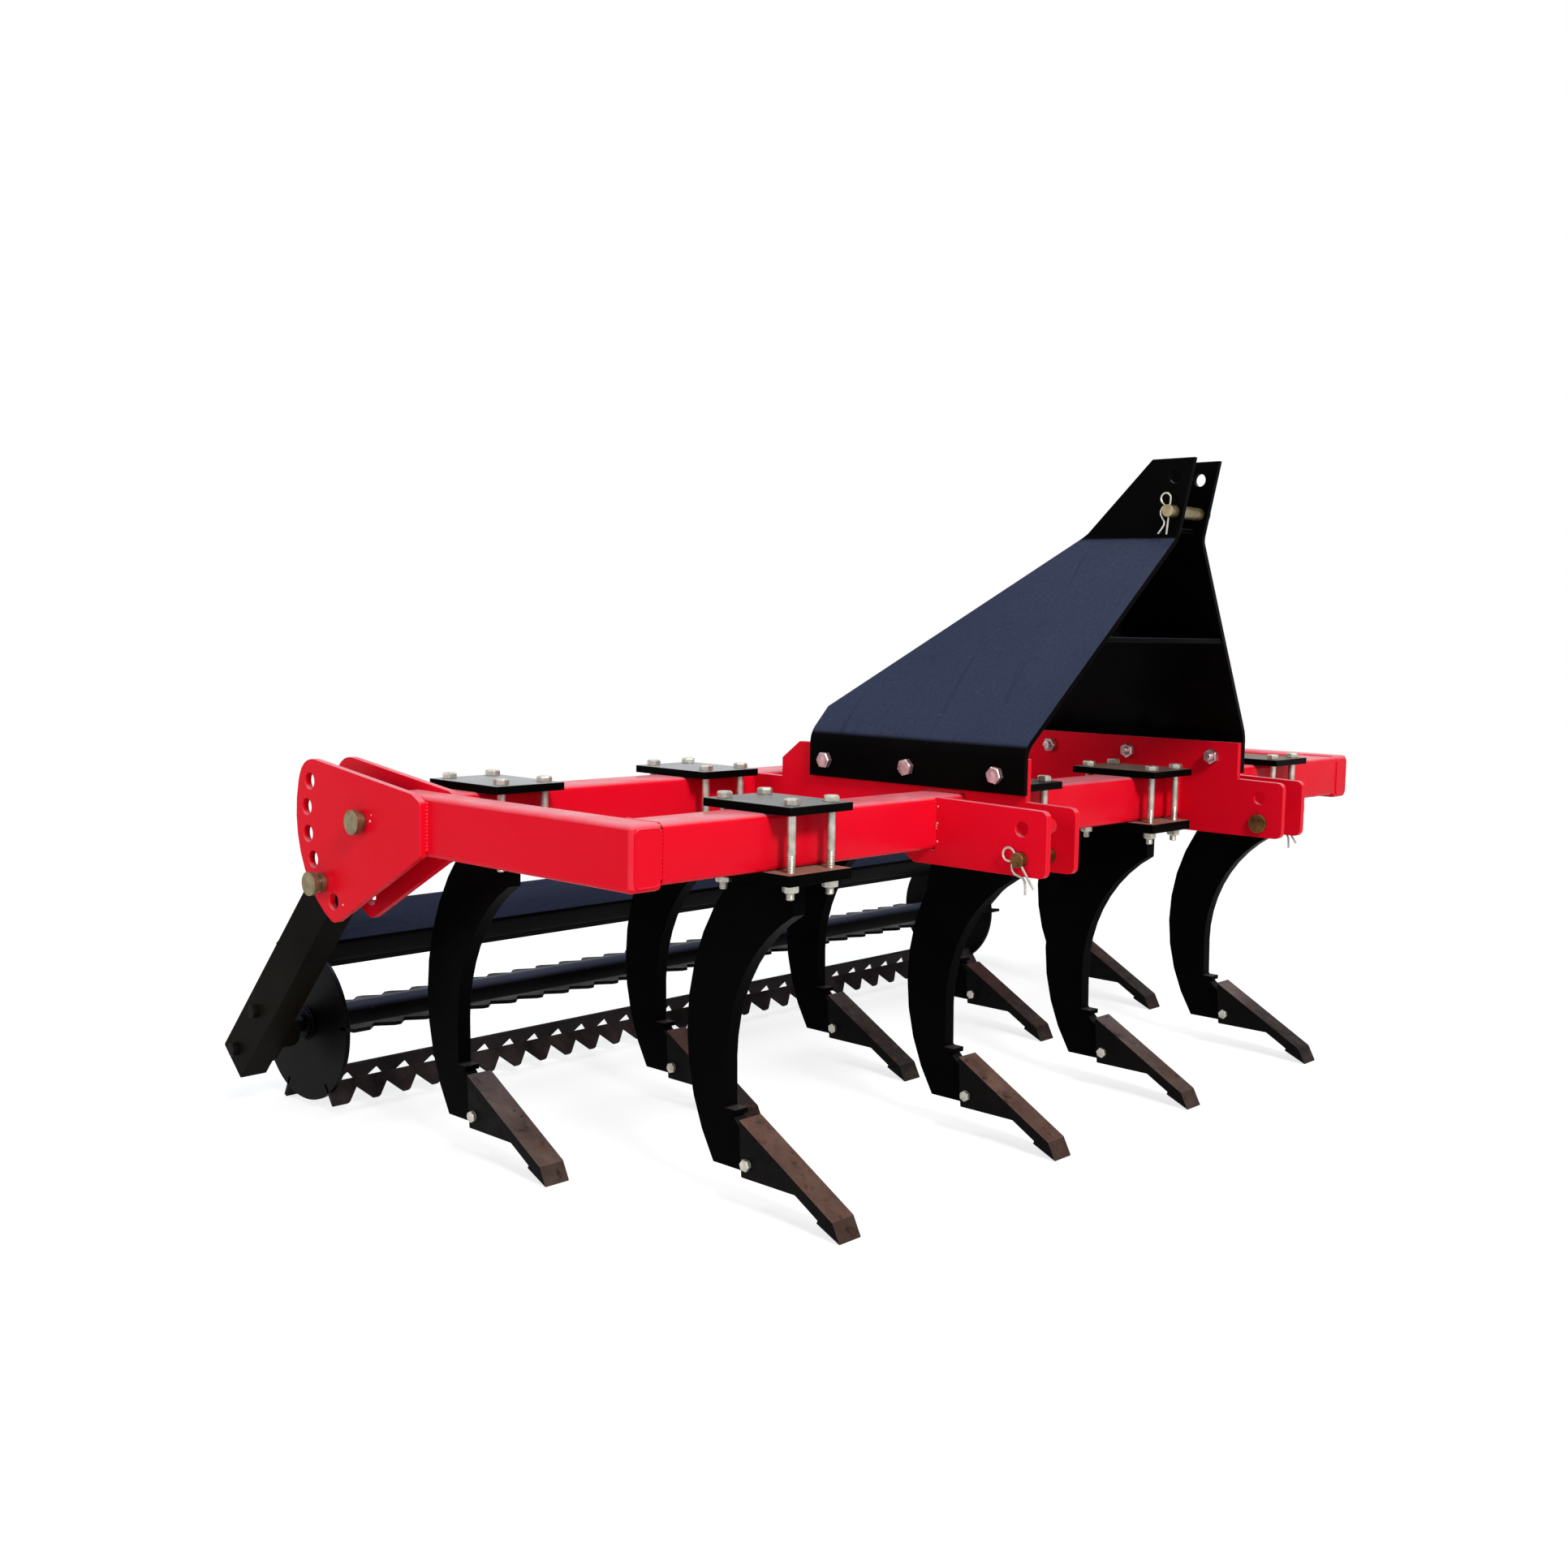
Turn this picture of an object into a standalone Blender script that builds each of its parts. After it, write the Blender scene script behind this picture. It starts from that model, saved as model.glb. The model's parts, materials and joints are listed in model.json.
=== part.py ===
# Mounted subsoiler: a welded tool frame with nine clamped shanks, a bolted
# three-point tower and a toothed cage roller on two pinned arms.
# Metres, +Z up, ground at Z = 0. The machine drives toward -Y, its right side is -X.
import math

import bmesh
import bpy
from mathutils import Matrix, Vector

# Fit between touching pieces
GAP = 0.0003

# Tool frame
BEAM = 0.100                 # square section of the front and rear beams
BEAM_EDGE = 0.010            # rounded corner of the beam section
ROW_SPACING = 0.573          # front face of the front beam to front face of the rear beam
SIDE_BEAM_WIDTH = 0.068
SIDE_BEAM_HEIGHT = 0.110
SIDE_BEAM_DROP = 0.0075      # how far the side beams hang below the cross beams
FRAME_HALF_WIDTH = 1.2694    # centre plane to the outer face of a side beam
FRAME_HEIGHT = 0.630         # ground to the underside of the cross beams

# Three-point hitch, category 2
HITCH_HALF_SPREAD = 0.4125   # centre plane to the outer face of an inner lug
LUG_THICKNESS = 0.014
LUG_CLEAR = 0.077            # open width between the lugs of a pair
LUG_REACH = 0.255            # front face of the beam to the nose of a lug
LUG_TOP = 0.094
LUG_BOTTOM = -0.029
LUG_ROUND = 0.014
LUG_TONGUE = 0.090           # length of the tongue under the beam
LUG_CHAMFER = 0.040
LUG_NOSE = 0.055             # nose to the line of the holes
LUG_BELOW_HOLE = 0.031
LUG_ABOVE_HOLE = 0.036
HITCH_PIN_RADIUS = 0.014
HITCH_PIN_HEAD_RADIUS = 0.021
HITCH_PIN_HEAD = 0.008
HITCH_PIN_TAIL = 0.014       # free end outside the outer lug

# Upright part of the hitch plates, above the beams
UPRIGHT_TOP = 0.177
UPRIGHT_FRONT = -0.144
UPRIGHT_SHORT = 0.086        # rear end of the upright to the rear beam
UPRIGHT_CHAMFER_Y = 0.049
UPRIGHT_CHAMFER_Z = 0.037

# Tower of two bent plates
TOWER_THICKNESS = 0.011
TOWER_FLANGE_BOTTOM = 0.109
TOWER_BEND_HEIGHT = 0.193
TOWER_FOOT_FRONT = -0.147
TOWER_FOOT_REAR = 0.398
TOWER_CHAMFER_Y = 0.004
TOWER_CHAMFER_Z = 0.052
EAR_HALF_SPREAD = 0.0537     # centre plane to the outer face of an ear
EAR_BELOW_PIN = 0.054        # pin to the bend at the ear's foot
EAR_ABOVE_HOLE = 0.036       # upper hole to the ear's top
EAR_FOOT_NOSE = 0.010        # pin to the front edge at the foot
EAR_FOOT_DEPTH = 0.222
EAR_TOP_NOSE = 0.042         # pin to the front edge at the top
EAR_TOP_DEPTH = 0.094
BEND_RADIUS = 0.014
BEND_STEPS = 3
BRACE_HEIGHT = 0.398
BRACE_THICKNESS = 0.010
BRACE_DEPTH = 0.250
WEB_DEPTH = 0.120
TOP_PIN_RADIUS = 0.0125
TOP_PIN_Y = -0.223
TOP_PIN_HEIGHT = 0.657
TOP_HOLE_SPACING = 0.068
TOP_PIN_HEAD_RADIUS = 0.0175
TOP_PIN_TAIL = 0.024

# Shanks and their clamps
SHANK_THICKNESS = 0.030
SHANK_TOP_DEPTH = 0.150      # front edge to rear edge at the clamp
SHANK_FRONT_EDGE = 0.083     # straight front edge below the beam
SHANK_REAR_EDGE = 0.035      # straight rear edge below the beam
SHANK_LEAD = 0.006           # front edge ahead of the beam's front face, at the clamp
SHANK_FRONT_BULGE = 0.043    # depth of the hollow front curve
SHANK_REAR_BULGE = 0.090     # depth of the round back curve
SHANK_WAIST_Y = 0.154        # where the front curve ends
SHANK_WAIST_HEIGHT = 0.265   # above the ground
SHANK_SHIN_Y = 0.152         # where the front edge meets the point
SHANK_SHIN_HEIGHT = 0.178    # above the ground
SHANK_HEEL_Y = 0.184
SHANK_FLOOR_HEIGHT = 0.067   # ground to the bottom of a shank
SHANK_ARC_STEPS = 9
STOP_WIDTH = 0.034           # stop block in front of the shin
STOP_DEPTH = 0.027
STOP_HEIGHT = 0.010
STOP_SEAT = 0.002            # how far the stop block reaches behind the shin
CLAMP_HALF_WIDTH = 0.0795
CLAMP_HALF_DEPTH = 0.106
CLAMP_PLATE = 0.015
FOOT_PLATE = 0.020           # clamp plate welded on the shank
CLAMP_BOLT_X = 0.0506
CLAMP_BOLT_Y = 0.081
CLAMP_BOLT_RADIUS = 0.009
CLAMP_BOLT_SIDES = 10
SHANK_PLACES = (
    # row, number, side of the centre plane, measured from, distance
    ("front", 1, -1, "side_beam", 0.3164),
    ("front", 2, -1, "inside_hitch", 0.1585),
    ("front", 3, 1, "inside_hitch", 0.1235),
    ("front", 4, 1, "side_beam", 0.3634),
    ("rear", 1, -1, "side_beam", 0.1394),
    ("rear", 2, -1, "outside_hitch", 0.1225),
    ("rear", 3, -1, "centre", 0.008),
    ("rear", 4, 1, "outside_hitch", 0.1295),
    ("rear", 5, 1, "side_beam", 0.1314),
)

# Chisel points
POINT_WIDTH = 0.058
POINT_THICKNESS = 0.022
POINT_LENGTH = 0.295         # rear end to cutting edge, along the underside
POINT_BEVEL = 0.034
POINT_ANGLE = math.radians(29.7)
POINT_TIP_Y = -0.140         # cutting edge ahead of the shank's front edge
CHEEK_HEIGHT = 0.0605        # ground to the bottom of the cheeks
CHEEK_REAR = 0.098
SLOT_FRONT = 0.010
LIP_LENGTH = 0.060           # hard-facing step under the cutting edge
LIP_DEPTH = 0.006

# Sector plates of the roller arms
SECTOR_THICKNESS = 0.014
SECTOR_OVERLAP = 0.021       # how far the plates reach ahead of the rear beam
SECTOR_FRONT_LOW = -0.006
SECTOR_FRONT_HIGH = 0.092
SECTOR_SHOULDER_Y = 0.028    # front edge to the start of the sloping top edge
SECTOR_SHOULDER_Z = 0.014
SECTOR_CREST_Y = 0.171       # pivot to the top corner
SECTOR_CREST_Z = 0.108
SECTOR_RADIUS = 0.226
SECTOR_START = math.radians(25)
SECTOR_END = math.radians(-66)
SECTOR_ARC_STEPS = 10
SECTOR_ROUNDS = (0.008, 0.012, 0.030, 0.060, 0.045)  # corners from the lower front one up to the arc
SECTOR_TAIL_ROUND = 0.022    # corner at the arc's lower end
PIVOT_BEHIND = 0.074         # rear end of the side beams to the pivot
PIVOT_Z = 0.040
SECTOR_EDGE = 0.039          # rim of the sector plate to the holes' centres
HOLE_RADIUS = 0.0165
HOLE_FIRST = math.radians(19.8)
HOLE_PITCH = math.radians(16.0)
HOLE_COUNT = 6
LOCK_HOLE = 4                # the fifth hole from the top holds the lock pin
PIN_RADIUS = 0.015
PIN_HEAD_RADIUS = 0.0235
PIN_HEAD = 0.010
PIN_NECK = 0.010
PIN_TAIL = 0.016
LOCK_NECK = 0.020

# Roller arms and their cross tube
ARM_WIDTH = 0.058
ARM_DEPTH = 0.092
ARM_FRONT = -0.024           # front face of an arm, from the pivot's line
AXLE_ACROSS = 0.024          # axle behind the pivot's line
ARM_START = -0.028
ARM_EDGE = 0.004
ARM_PAST_AXLE = 0.095
AXLE_ALONG = 0.676
CROSS_CLEAR = 0.065          # cross tube to the roller's teeth
CROSS_SIZE = 0.066
CROSS_DEPTH = 0.100
CROSS_FRONT = -0.015
CROSS_EDGE = 0.008

# Bearings and roller
BEARING_PLATE = 0.012
BEARING_LENGTH = 0.160
BEARING_HEIGHT = 0.086
BEARING_CORNER = 0.030
BEARING_BARREL_RADIUS = 0.044
BEARING_BARREL = 0.030
BEARING_CLEAR = 0.034        # bearing to the end disc
AXLE_RADIUS = 0.0175
DISC_RADIUS = 0.1666
DISC_THICKNESS = 0.010
TUBE_RADIUS = 0.030
TINE_RADIUS = 0.196          # roller axis to the tips of the teeth
TINE_ROOT_RADIUS = 0.1434    # roller axis to the inner edge of a toothed bar
TINE_THICKNESS = 0.008
TINE_BARS = 6
TINE_LEAN = math.radians(25)  # lowest bar at rest, from straight down
TOOTH_PITCH = 0.0757
TOOTH_DEPTH = 0.0335
TOOTH_TIP = 0.015

# Places worked out from the driving sizes
HITCH_HOLE_REACH = LUG_REACH - LUG_NOSE
HITCH_HOLE_HEIGHTS = (LUG_BOTTOM + LUG_BELOW_HOLE, LUG_TOP - LUG_ABOVE_HOLE)
TOP_HOLE_HEIGHT = TOP_PIN_HEIGHT + TOP_HOLE_SPACING
EAR_TOP_HEIGHT = TOP_HOLE_HEIGHT + EAR_ABOVE_HOLE
EAR_TOP_FRONT = TOP_PIN_Y - EAR_TOP_NOSE
EAR_TOP_REAR = EAR_TOP_FRONT + EAR_TOP_DEPTH
EAR_FOOT_HEIGHT = TOP_PIN_HEIGHT - EAR_BELOW_PIN
EAR_FOOT_FRONT = TOP_PIN_Y - EAR_FOOT_NOSE
EAR_FOOT_REAR = EAR_FOOT_FRONT + EAR_FOOT_DEPTH
UPRIGHT_REAR = ROW_SPACING - UPRIGHT_SHORT
FRONT_EXTENT = EAR_TOP_FRONT
FRONT_BEAM_X = FRAME_HALF_WIDTH - SIDE_BEAM_WIDTH
REAR_BEAM_X = FRONT_BEAM_X - SECTOR_THICKNESS - 2 * GAP
SIDE_BEAM_REAR = ROW_SPACING + BEAM
PIVOT_Y = SIDE_BEAM_REAR + PIVOT_BEHIND
HOLE_CIRCLE = SECTOR_RADIUS - SECTOR_EDGE
ARM_INNER_X = FRAME_HALF_WIDTH - SIDE_BEAM_WIDTH / 2 - ARM_WIDTH / 2
BEARING_PLATE_X = ARM_INNER_X - GAP - BEARING_PLATE
BEARING_FACE_X = BEARING_PLATE_X - BEARING_BARREL
ROLLER_HALF_LENGTH = BEARING_FACE_X - BEARING_CLEAR
CROSS_START = AXLE_ALONG - TINE_RADIUS - CROSS_CLEAR - CROSS_SIZE
SHANK_FLOOR = SHANK_FLOOR_HEIGHT - FRAME_HEIGHT
SHANK_SHIN_Z = SHANK_SHIN_HEIGHT - FRAME_HEIGHT
CHEEK_BOTTOM = CHEEK_HEIGHT - FRAME_HEIGHT
OUTER_LUG_X = HITCH_HALF_SPREAD + LUG_CLEAR
LOWEST_TOOTH = TINE_RADIUS * math.cos(TINE_LEAN) + TINE_THICKNESS / 2 * math.sin(TINE_LEAN)
TINE_SKEW = math.pi / 2 - TINE_LEAN - 2 * math.pi / TINE_BARS


def arm_angle():
    """Slope of the arms that stands the lowest row of teeth on the ground."""
    drop = FRAME_HEIGHT + PIVOT_Z - LOWEST_TOOTH
    reach = math.hypot(AXLE_ALONG, AXLE_ACROSS)
    return -(math.asin(drop / reach) + math.atan2(AXLE_ACROSS, AXLE_ALONG))


ARM_ANGLE = arm_angle()
AXLE_Y = PIVOT_Y + AXLE_ALONG * math.cos(ARM_ANGLE) - AXLE_ACROSS * math.sin(ARM_ANGLE)
AXLE_Z = PIVOT_Z + AXLE_ALONG * math.sin(ARM_ANGLE) + AXLE_ACROSS * math.cos(ARM_ANGLE)
REAR_EXTENT = AXLE_Y + TINE_RADIUS * math.cos(TINE_SKEW) + TINE_THICKNESS / 2 * math.sin(TINE_SKEW)
FRAME_Y = -(FRONT_EXTENT + REAR_EXTENT) / 2
FRAME_ORIGIN = Vector((0.0, FRAME_Y, FRAME_HEIGHT))

RED = ((0.60, 0.004, 0.012), 0.35, 0.0)
BLACK = ((0.012, 0.012, 0.014), 0.40, 0.0)
STEEL = ((0.12, 0.08, 0.065), 0.60, 0.9)
ZINC = ((0.42, 0.37, 0.20), 0.35, 1.0)


def material_for(name, finish):
    colour, roughness, metallic = finish
    material = bpy.data.materials.new(name + "_finish")
    material.use_nodes = True
    shader = material.node_tree.nodes["Principled BSDF"]
    shader.inputs["Base Color"].default_value = (*colour, 1.0)
    shader.inputs["Roughness"].default_value = roughness
    shader.inputs["Metallic"].default_value = metallic
    return material


def add_object(name, mesh, parent=None):
    """Links a mesh that is drawn in the frame's coordinates under its parent empty."""
    thing = bpy.data.objects.new(name, mesh)
    bpy.context.scene.collection.objects.link(thing)
    if parent is not None:
        thing.parent = parent
    return thing


def mesh_from(build):
    """Runs a bmesh builder and returns a mesh with its faces pointing out."""
    shape = bmesh.new()
    build(shape)
    bmesh.ops.recalc_face_normals(shape, faces=shape.faces)
    mesh = bpy.data.meshes.new("shape")
    shape.to_mesh(mesh)
    shape.free()
    return mesh


def prism_x(outline, x_low, x_high):
    """A (y, z) outline extruded along X."""
    def build(shape):
        face = shape.faces.new([shape.verts.new((x_low, y, z)) for y, z in outline])
        moved = bmesh.ops.extrude_face_region(shape, geom=[face])["geom"]
        corners = [item for item in moved if isinstance(item, bmesh.types.BMVert)]
        bmesh.ops.translate(shape, verts=corners, vec=(x_high - x_low, 0.0, 0.0))
    return mesh_from(build)


def block(x_low, x_high, y_low, y_high, z_low, z_high):
    return prism_x(((y_low, z_low), (y_high, z_low), (y_high, z_high), (y_low, z_high)), x_low, x_high)


def round_x(radius, x_low, x_high, centre, sides=24):
    """A cylinder along X whose axis runs through the (y, z) centre."""
    step = 2 * math.pi / sides
    ring = [
        (centre[0] + radius * math.cos(step * i), centre[1] + radius * math.sin(step * i))
        for i in range(sides)]
    return prism_x(ring, x_low, x_high)


def round_z(radius, z_low, z_high, centre, sides):
    """An upright cylinder whose axis runs through the (x, y) centre."""
    def build(shape):
        place = Matrix.Translation((centre[0], centre[1], (z_low + z_high) / 2))
        bmesh.ops.create_cone(
            shape, cap_ends=True, segments=sides, radius1=radius, radius2=radius,
            depth=z_high - z_low, matrix=place)
    return mesh_from(build)


def combine(base, others, operation):
    """Boolean of one mesh with others, worked out at once."""
    target = bpy.data.objects.new("target", base)
    bpy.context.scene.collection.objects.link(target)
    tools = []
    for mesh in others:
        tool = bpy.data.objects.new("tool", mesh)
        bpy.context.scene.collection.objects.link(tool)
        tool.hide_render = True
        tool.display_type = "WIRE"
        tools.append(tool)
        modifier = target.modifiers.new("cut", "BOOLEAN")
        modifier.operation = operation
        modifier.solver = "EXACT"
        modifier.object = tool
    graph = bpy.context.evaluated_depsgraph_get()
    result = bpy.data.meshes.new_from_object(target.evaluated_get(graph))
    for thing in [target] + tools:
        bpy.data.objects.remove(thing)
    return result


def union(base, *others):
    return combine(base, others, "UNION")


def cut(base, *others):
    return combine(base, others, "DIFFERENCE")


def finish(name, mesh, look, parent, smooth=False):
    """Turns a mesh in frame coordinates into a named, finished part."""
    mesh = mesh.copy()
    mesh.name = name
    if smooth:
        mesh.shade_smooth()
        mesh.set_sharp_from_angle(angle=math.radians(35))
    mesh.materials.clear()
    mesh.materials.append(material_for(name, look))
    return add_object(name, mesh, parent)


def bulged(first, last, bulge, steps):
    """Points of an arc between two (y, z) places, ends included, bulging to the right of its chord."""
    start, end = Vector(first), Vector(last)
    chord = end - start
    side = Vector((chord.y, -chord.x)).normalized()
    radius = (chord.length_squared / 4 + bulge * bulge) / (2 * bulge)
    centre = (start + end) / 2 + side * (bulge - radius)
    half = math.asin(chord.length / 2 / radius)
    points = []
    for i in range(steps + 1):
        angle = half * (2 * i / steps - 1)
        reach = chord.normalized() * radius * math.sin(angle)
        points.append(tuple(centre + side * radius * math.cos(angle) + reach))
    return points


def rounded(outline, radii, steps=3):
    """An outline whose corners are rounded by the radius given for each corner."""
    points = []
    count = len(outline)
    for i, (corner, radius) in enumerate(zip(outline, radii)):
        here = Vector(corner)
        if radius <= 0:
            points.append(tuple(here))
            continue
        before = (Vector(outline[i - 1]) - here).normalized()
        after = (Vector(outline[(i + 1) % count]) - here).normalized()
        half = before.angle(after) / 2
        reach = radius / math.tan(half)
        centre = here + (before + after).normalized() * radius / math.sin(half)
        start = here + before * reach - centre
        end = here + after * reach - centre
        turn = start.angle_signed(end)
        for k in range(steps + 1):
            angle = -turn * k / steps
            swung = Vector((
                start.x * math.cos(angle) - start.y * math.sin(angle),
                start.x * math.sin(angle) + start.y * math.cos(angle)))
            points.append(tuple(centre + swung))
    return points


def mirrored(mesh):
    """The same shape on the other side of the centre plane."""
    copy = mesh.copy()
    copy.transform(Matrix.Scale(-1, 4, (1, 0, 0)))
    copy.flip_normals()
    return copy


def both_sides(name, mesh, look, parent, smooth=False):
    """Adds the left part as drawn at +X and the right part as its mirror image."""
    finish(name + "_left", mesh, look, parent, smooth)
    finish(name + "_right", mirrored(mesh), look, parent, smooth)


def beam_section(y_low, y_high, z_low, z_high):
    corners = ((y_low, z_low), (y_high, z_low), (y_high, z_high), (y_low, z_high))
    return rounded(corners, (BEAM_EDGE,) * 4, 3)


def add_frame(frame):
    # name, front face of the beam, half length
    for name, face, half in (
            ("front_beam", 0.0, FRONT_BEAM_X - GAP),
            ("rear_beam", ROW_SPACING, REAR_BEAM_X)):
        finish(name, prism_x(beam_section(face, face + BEAM, 0.0, BEAM), -half, half), RED, frame)
    low = -SIDE_BEAM_DROP
    side = block(FRONT_BEAM_X, FRAME_HALF_WIDTH, 0.0, SIDE_BEAM_REAR, low, low + SIDE_BEAM_HEIGHT)
    both_sides("side_beam", side, RED, frame)


def lug_holes(x_low, x_high):
    return [
        round_x(HITCH_PIN_RADIUS + GAP, x_low - 0.01, x_high + 0.01, (-HITCH_HOLE_REACH, height))
        for height in HITCH_HOLE_HEIGHTS]


def add_hitch(frame):
    nose = (-LUG_REACH, LUG_BOTTOM)
    brow = (-LUG_REACH, LUG_TOP)
    # The top edge rises to the top of the beam
    root = LUG_TOP + (BEAM - LUG_TOP) * (LUG_REACH + UPRIGHT_FRONT) / LUG_REACH
    tongue = [(LUG_TONGUE, -GAP), (LUG_TONGUE - LUG_CHAMFER, LUG_BOTTOM)]
    # The inner lug, the upright and the web between the beams are one plate
    plate = [
        nose, brow, (UPRIGHT_FRONT, root), (UPRIGHT_FRONT, UPRIGHT_TOP),
        (UPRIGHT_REAR - UPRIGHT_CHAMFER_Y, UPRIGHT_TOP), (UPRIGHT_REAR, UPRIGHT_TOP - UPRIGHT_CHAMFER_Z),
        (UPRIGHT_REAR, BEAM), (ROW_SPACING - GAP, BEAM), (ROW_SPACING - GAP, 0.0),
        (BEAM + GAP, 0.0), (BEAM + GAP, BEAM + GAP), (-GAP, BEAM + GAP), (-GAP, -GAP)] + tongue
    radii = [LUG_ROUND, LUG_ROUND] + [0.0] * (len(plate) - 2)
    low = HITCH_HALF_SPREAD - LUG_THICKNESS
    inner = cut(prism_x(rounded(plate, radii), low, HITCH_HALF_SPREAD), *lug_holes(low, HITCH_HALF_SPREAD))
    both_sides("hitch_plate", inner, RED, frame)
    lug = [nose, brow, (-GAP, BEAM), (-GAP, -GAP)] + tongue
    radii = [LUG_ROUND, LUG_ROUND] + [0.0] * (len(lug) - 2)
    high = OUTER_LUG_X + LUG_THICKNESS
    outer = cut(prism_x(rounded(lug, radii), OUTER_LUG_X, high), *lug_holes(OUTER_LUG_X, high))
    both_sides("outer_lug", outer, RED, frame)
    centre = (-HITCH_HOLE_REACH, HITCH_HOLE_HEIGHTS[0])
    shaft = round_x(HITCH_PIN_RADIUS, low - GAP - HITCH_PIN_HEAD / 2, high + HITCH_PIN_TAIL, centre)
    head = round_x(HITCH_PIN_HEAD_RADIUS, low - GAP - HITCH_PIN_HEAD, low - GAP, centre)
    both_sides("hitch_pin", union(shaft, head), ZINC, frame, smooth=True)


def tower_plate_mesh():
    """The left tower plate: foot flange, leaning panel and upright ear, bent from one sheet."""
    foot = HITCH_HALF_SPREAD + GAP
    ear = EAR_HALF_SPREAD - TOWER_THICKNESS
    rows = (
        # x, z, front y, rear y
        (foot, TOWER_FLANGE_BOTTOM, TOWER_FOOT_FRONT, TOWER_FOOT_REAR),
        (foot, TOWER_BEND_HEIGHT, TOWER_FOOT_FRONT, TOWER_FOOT_REAR),
        (ear, EAR_FOOT_HEIGHT, EAR_FOOT_FRONT, EAR_FOOT_REAR),
        (ear, EAR_TOP_HEIGHT, EAR_TOP_FRONT, EAR_TOP_REAR))

    def build(shape):
        fronts = [shape.verts.new((x, front, z)) for x, z, front, rear in rows]
        rears = [shape.verts.new((x, rear, z)) for x, z, front, rear in rows]
        share = TOWER_CHAMFER_Z / (EAR_FOOT_HEIGHT - TOWER_BEND_HEIGHT)
        chamfer = shape.verts.new((
            foot + (ear - foot) * share,
            TOWER_FOOT_REAR - TOWER_CHAMFER_Y,
            TOWER_BEND_HEIGHT + TOWER_CHAMFER_Z))
        shape.faces.new((fronts[0], rears[0], rears[1], fronts[1]))
        shape.faces.new((fronts[1], rears[1], chamfer, rears[2], fronts[2]))
        shape.faces.new((fronts[2], rears[2], rears[3], fronts[3]))
        bends = [edge for edge in shape.edges if len(edge.link_faces) == 2]
        bmesh.ops.bevel(
            shape, geom=bends, offset=BEND_RADIUS, segments=BEND_STEPS, affect="EDGES", profile=0.5)
    sheet = mesh_from(build)
    if sheet.polygons[0].normal.x < 0:
        sheet.flip_normals()
    thing = bpy.data.objects.new("sheet", sheet)
    bpy.context.scene.collection.objects.link(thing)
    modifier = thing.modifiers.new("thickness", "SOLIDIFY")
    modifier.thickness = TOWER_THICKNESS
    modifier.offset = 1.0
    modifier.use_even_offset = True
    graph = bpy.context.evaluated_depsgraph_get()
    solid = bpy.data.meshes.new_from_object(thing.evaluated_get(graph))
    bpy.data.objects.remove(thing)
    holes = [
        round_x(TOP_PIN_RADIUS + GAP, ear - 0.02, ear + 0.03, (TOP_PIN_Y, height))
        for height in (TOP_PIN_HEIGHT, TOP_HOLE_HEIGHT)]
    return cut(solid, *holes)


def panel_inner_x(height):
    """Half width between the leaning panels at a height."""
    share = (height - TOWER_BEND_HEIGHT) / (EAR_FOOT_HEIGHT - TOWER_BEND_HEIGHT)
    ear = EAR_HALF_SPREAD - TOWER_THICKNESS
    return HITCH_HALF_SPREAD + GAP + (ear - HITCH_HALF_SPREAD - GAP) * share


def panel_front_y(height):
    share = (height - TOWER_BEND_HEIGHT) / (EAR_FOOT_HEIGHT - TOWER_BEND_HEIGHT)
    return TOWER_FOOT_FRONT + (EAR_FOOT_FRONT - TOWER_FOOT_FRONT) * share


def add_tower(frame):
    both_sides("tower_plate", tower_plate_mesh(), BLACK, frame)
    top = BRACE_HEIGHT + BRACE_THICKNESS
    front = panel_front_y(top) + 0.004
    rear = front + BRACE_DEPTH
    lean = math.hypot(1.0, (panel_inner_x(BRACE_HEIGHT) - panel_inner_x(top)) / BRACE_THICKNESS)

    def build(shape):
        corners = []
        for height in (BRACE_HEIGHT, top):
            half = panel_inner_x(height) - GAP * lean
            corners.append([
                shape.verts.new((x, y, height))
                for x, y in ((-half, front), (half, front), (half, rear), (-half, rear))])
        low, high = corners
        shape.faces.new(low)
        shape.faces.new(high)
        for i in range(4):
            shape.faces.new((low[i], low[(i + 1) % 4], high[(i + 1) % 4], high[i]))
    finish("tower_brace", mesh_from(build), BLACK, frame)
    ear = EAR_HALF_SPREAD - TOWER_THICKNESS - GAP
    low = EAR_FOOT_HEIGHT + BEND_RADIUS
    front = EAR_FOOT_FRONT + 0.02
    web = block(-ear, ear, front, front + WEB_DEPTH, low, low + BRACE_THICKNESS)
    finish("ear_web", web, BLACK, frame)
    centre = (TOP_PIN_Y, TOP_PIN_HEIGHT)
    outer = EAR_HALF_SPREAD + GAP
    shaft = round_x(TOP_PIN_RADIUS, -outer - TOP_PIN_TAIL, outer + HITCH_PIN_HEAD / 2, centre)
    head = round_x(TOP_PIN_HEAD_RADIUS, outer, outer + HITCH_PIN_HEAD, centre)
    finish("top_pin", union(shaft, head), ZINC, frame, smooth=True)


def point_direction():
    return Vector((-math.cos(POINT_ANGLE), -math.sin(POINT_ANGLE)))


def point_normal():
    """Across the chisel bar, from its top face to its underside."""
    return Vector((math.sin(POINT_ANGLE), -math.cos(POINT_ANGLE)))


def point_tip():
    return Vector((POINT_TIP_Y, -FRAME_HEIGHT))


def underside_height(y):
    """Height of the chisel bar's underside at a place along Y."""
    return -FRAME_HEIGHT + (y - POINT_TIP_Y) * math.tan(POINT_ANGLE)


def underside_place(z):
    return POINT_TIP_Y + (z + FRAME_HEIGHT) / math.tan(POINT_ANGLE)


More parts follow.
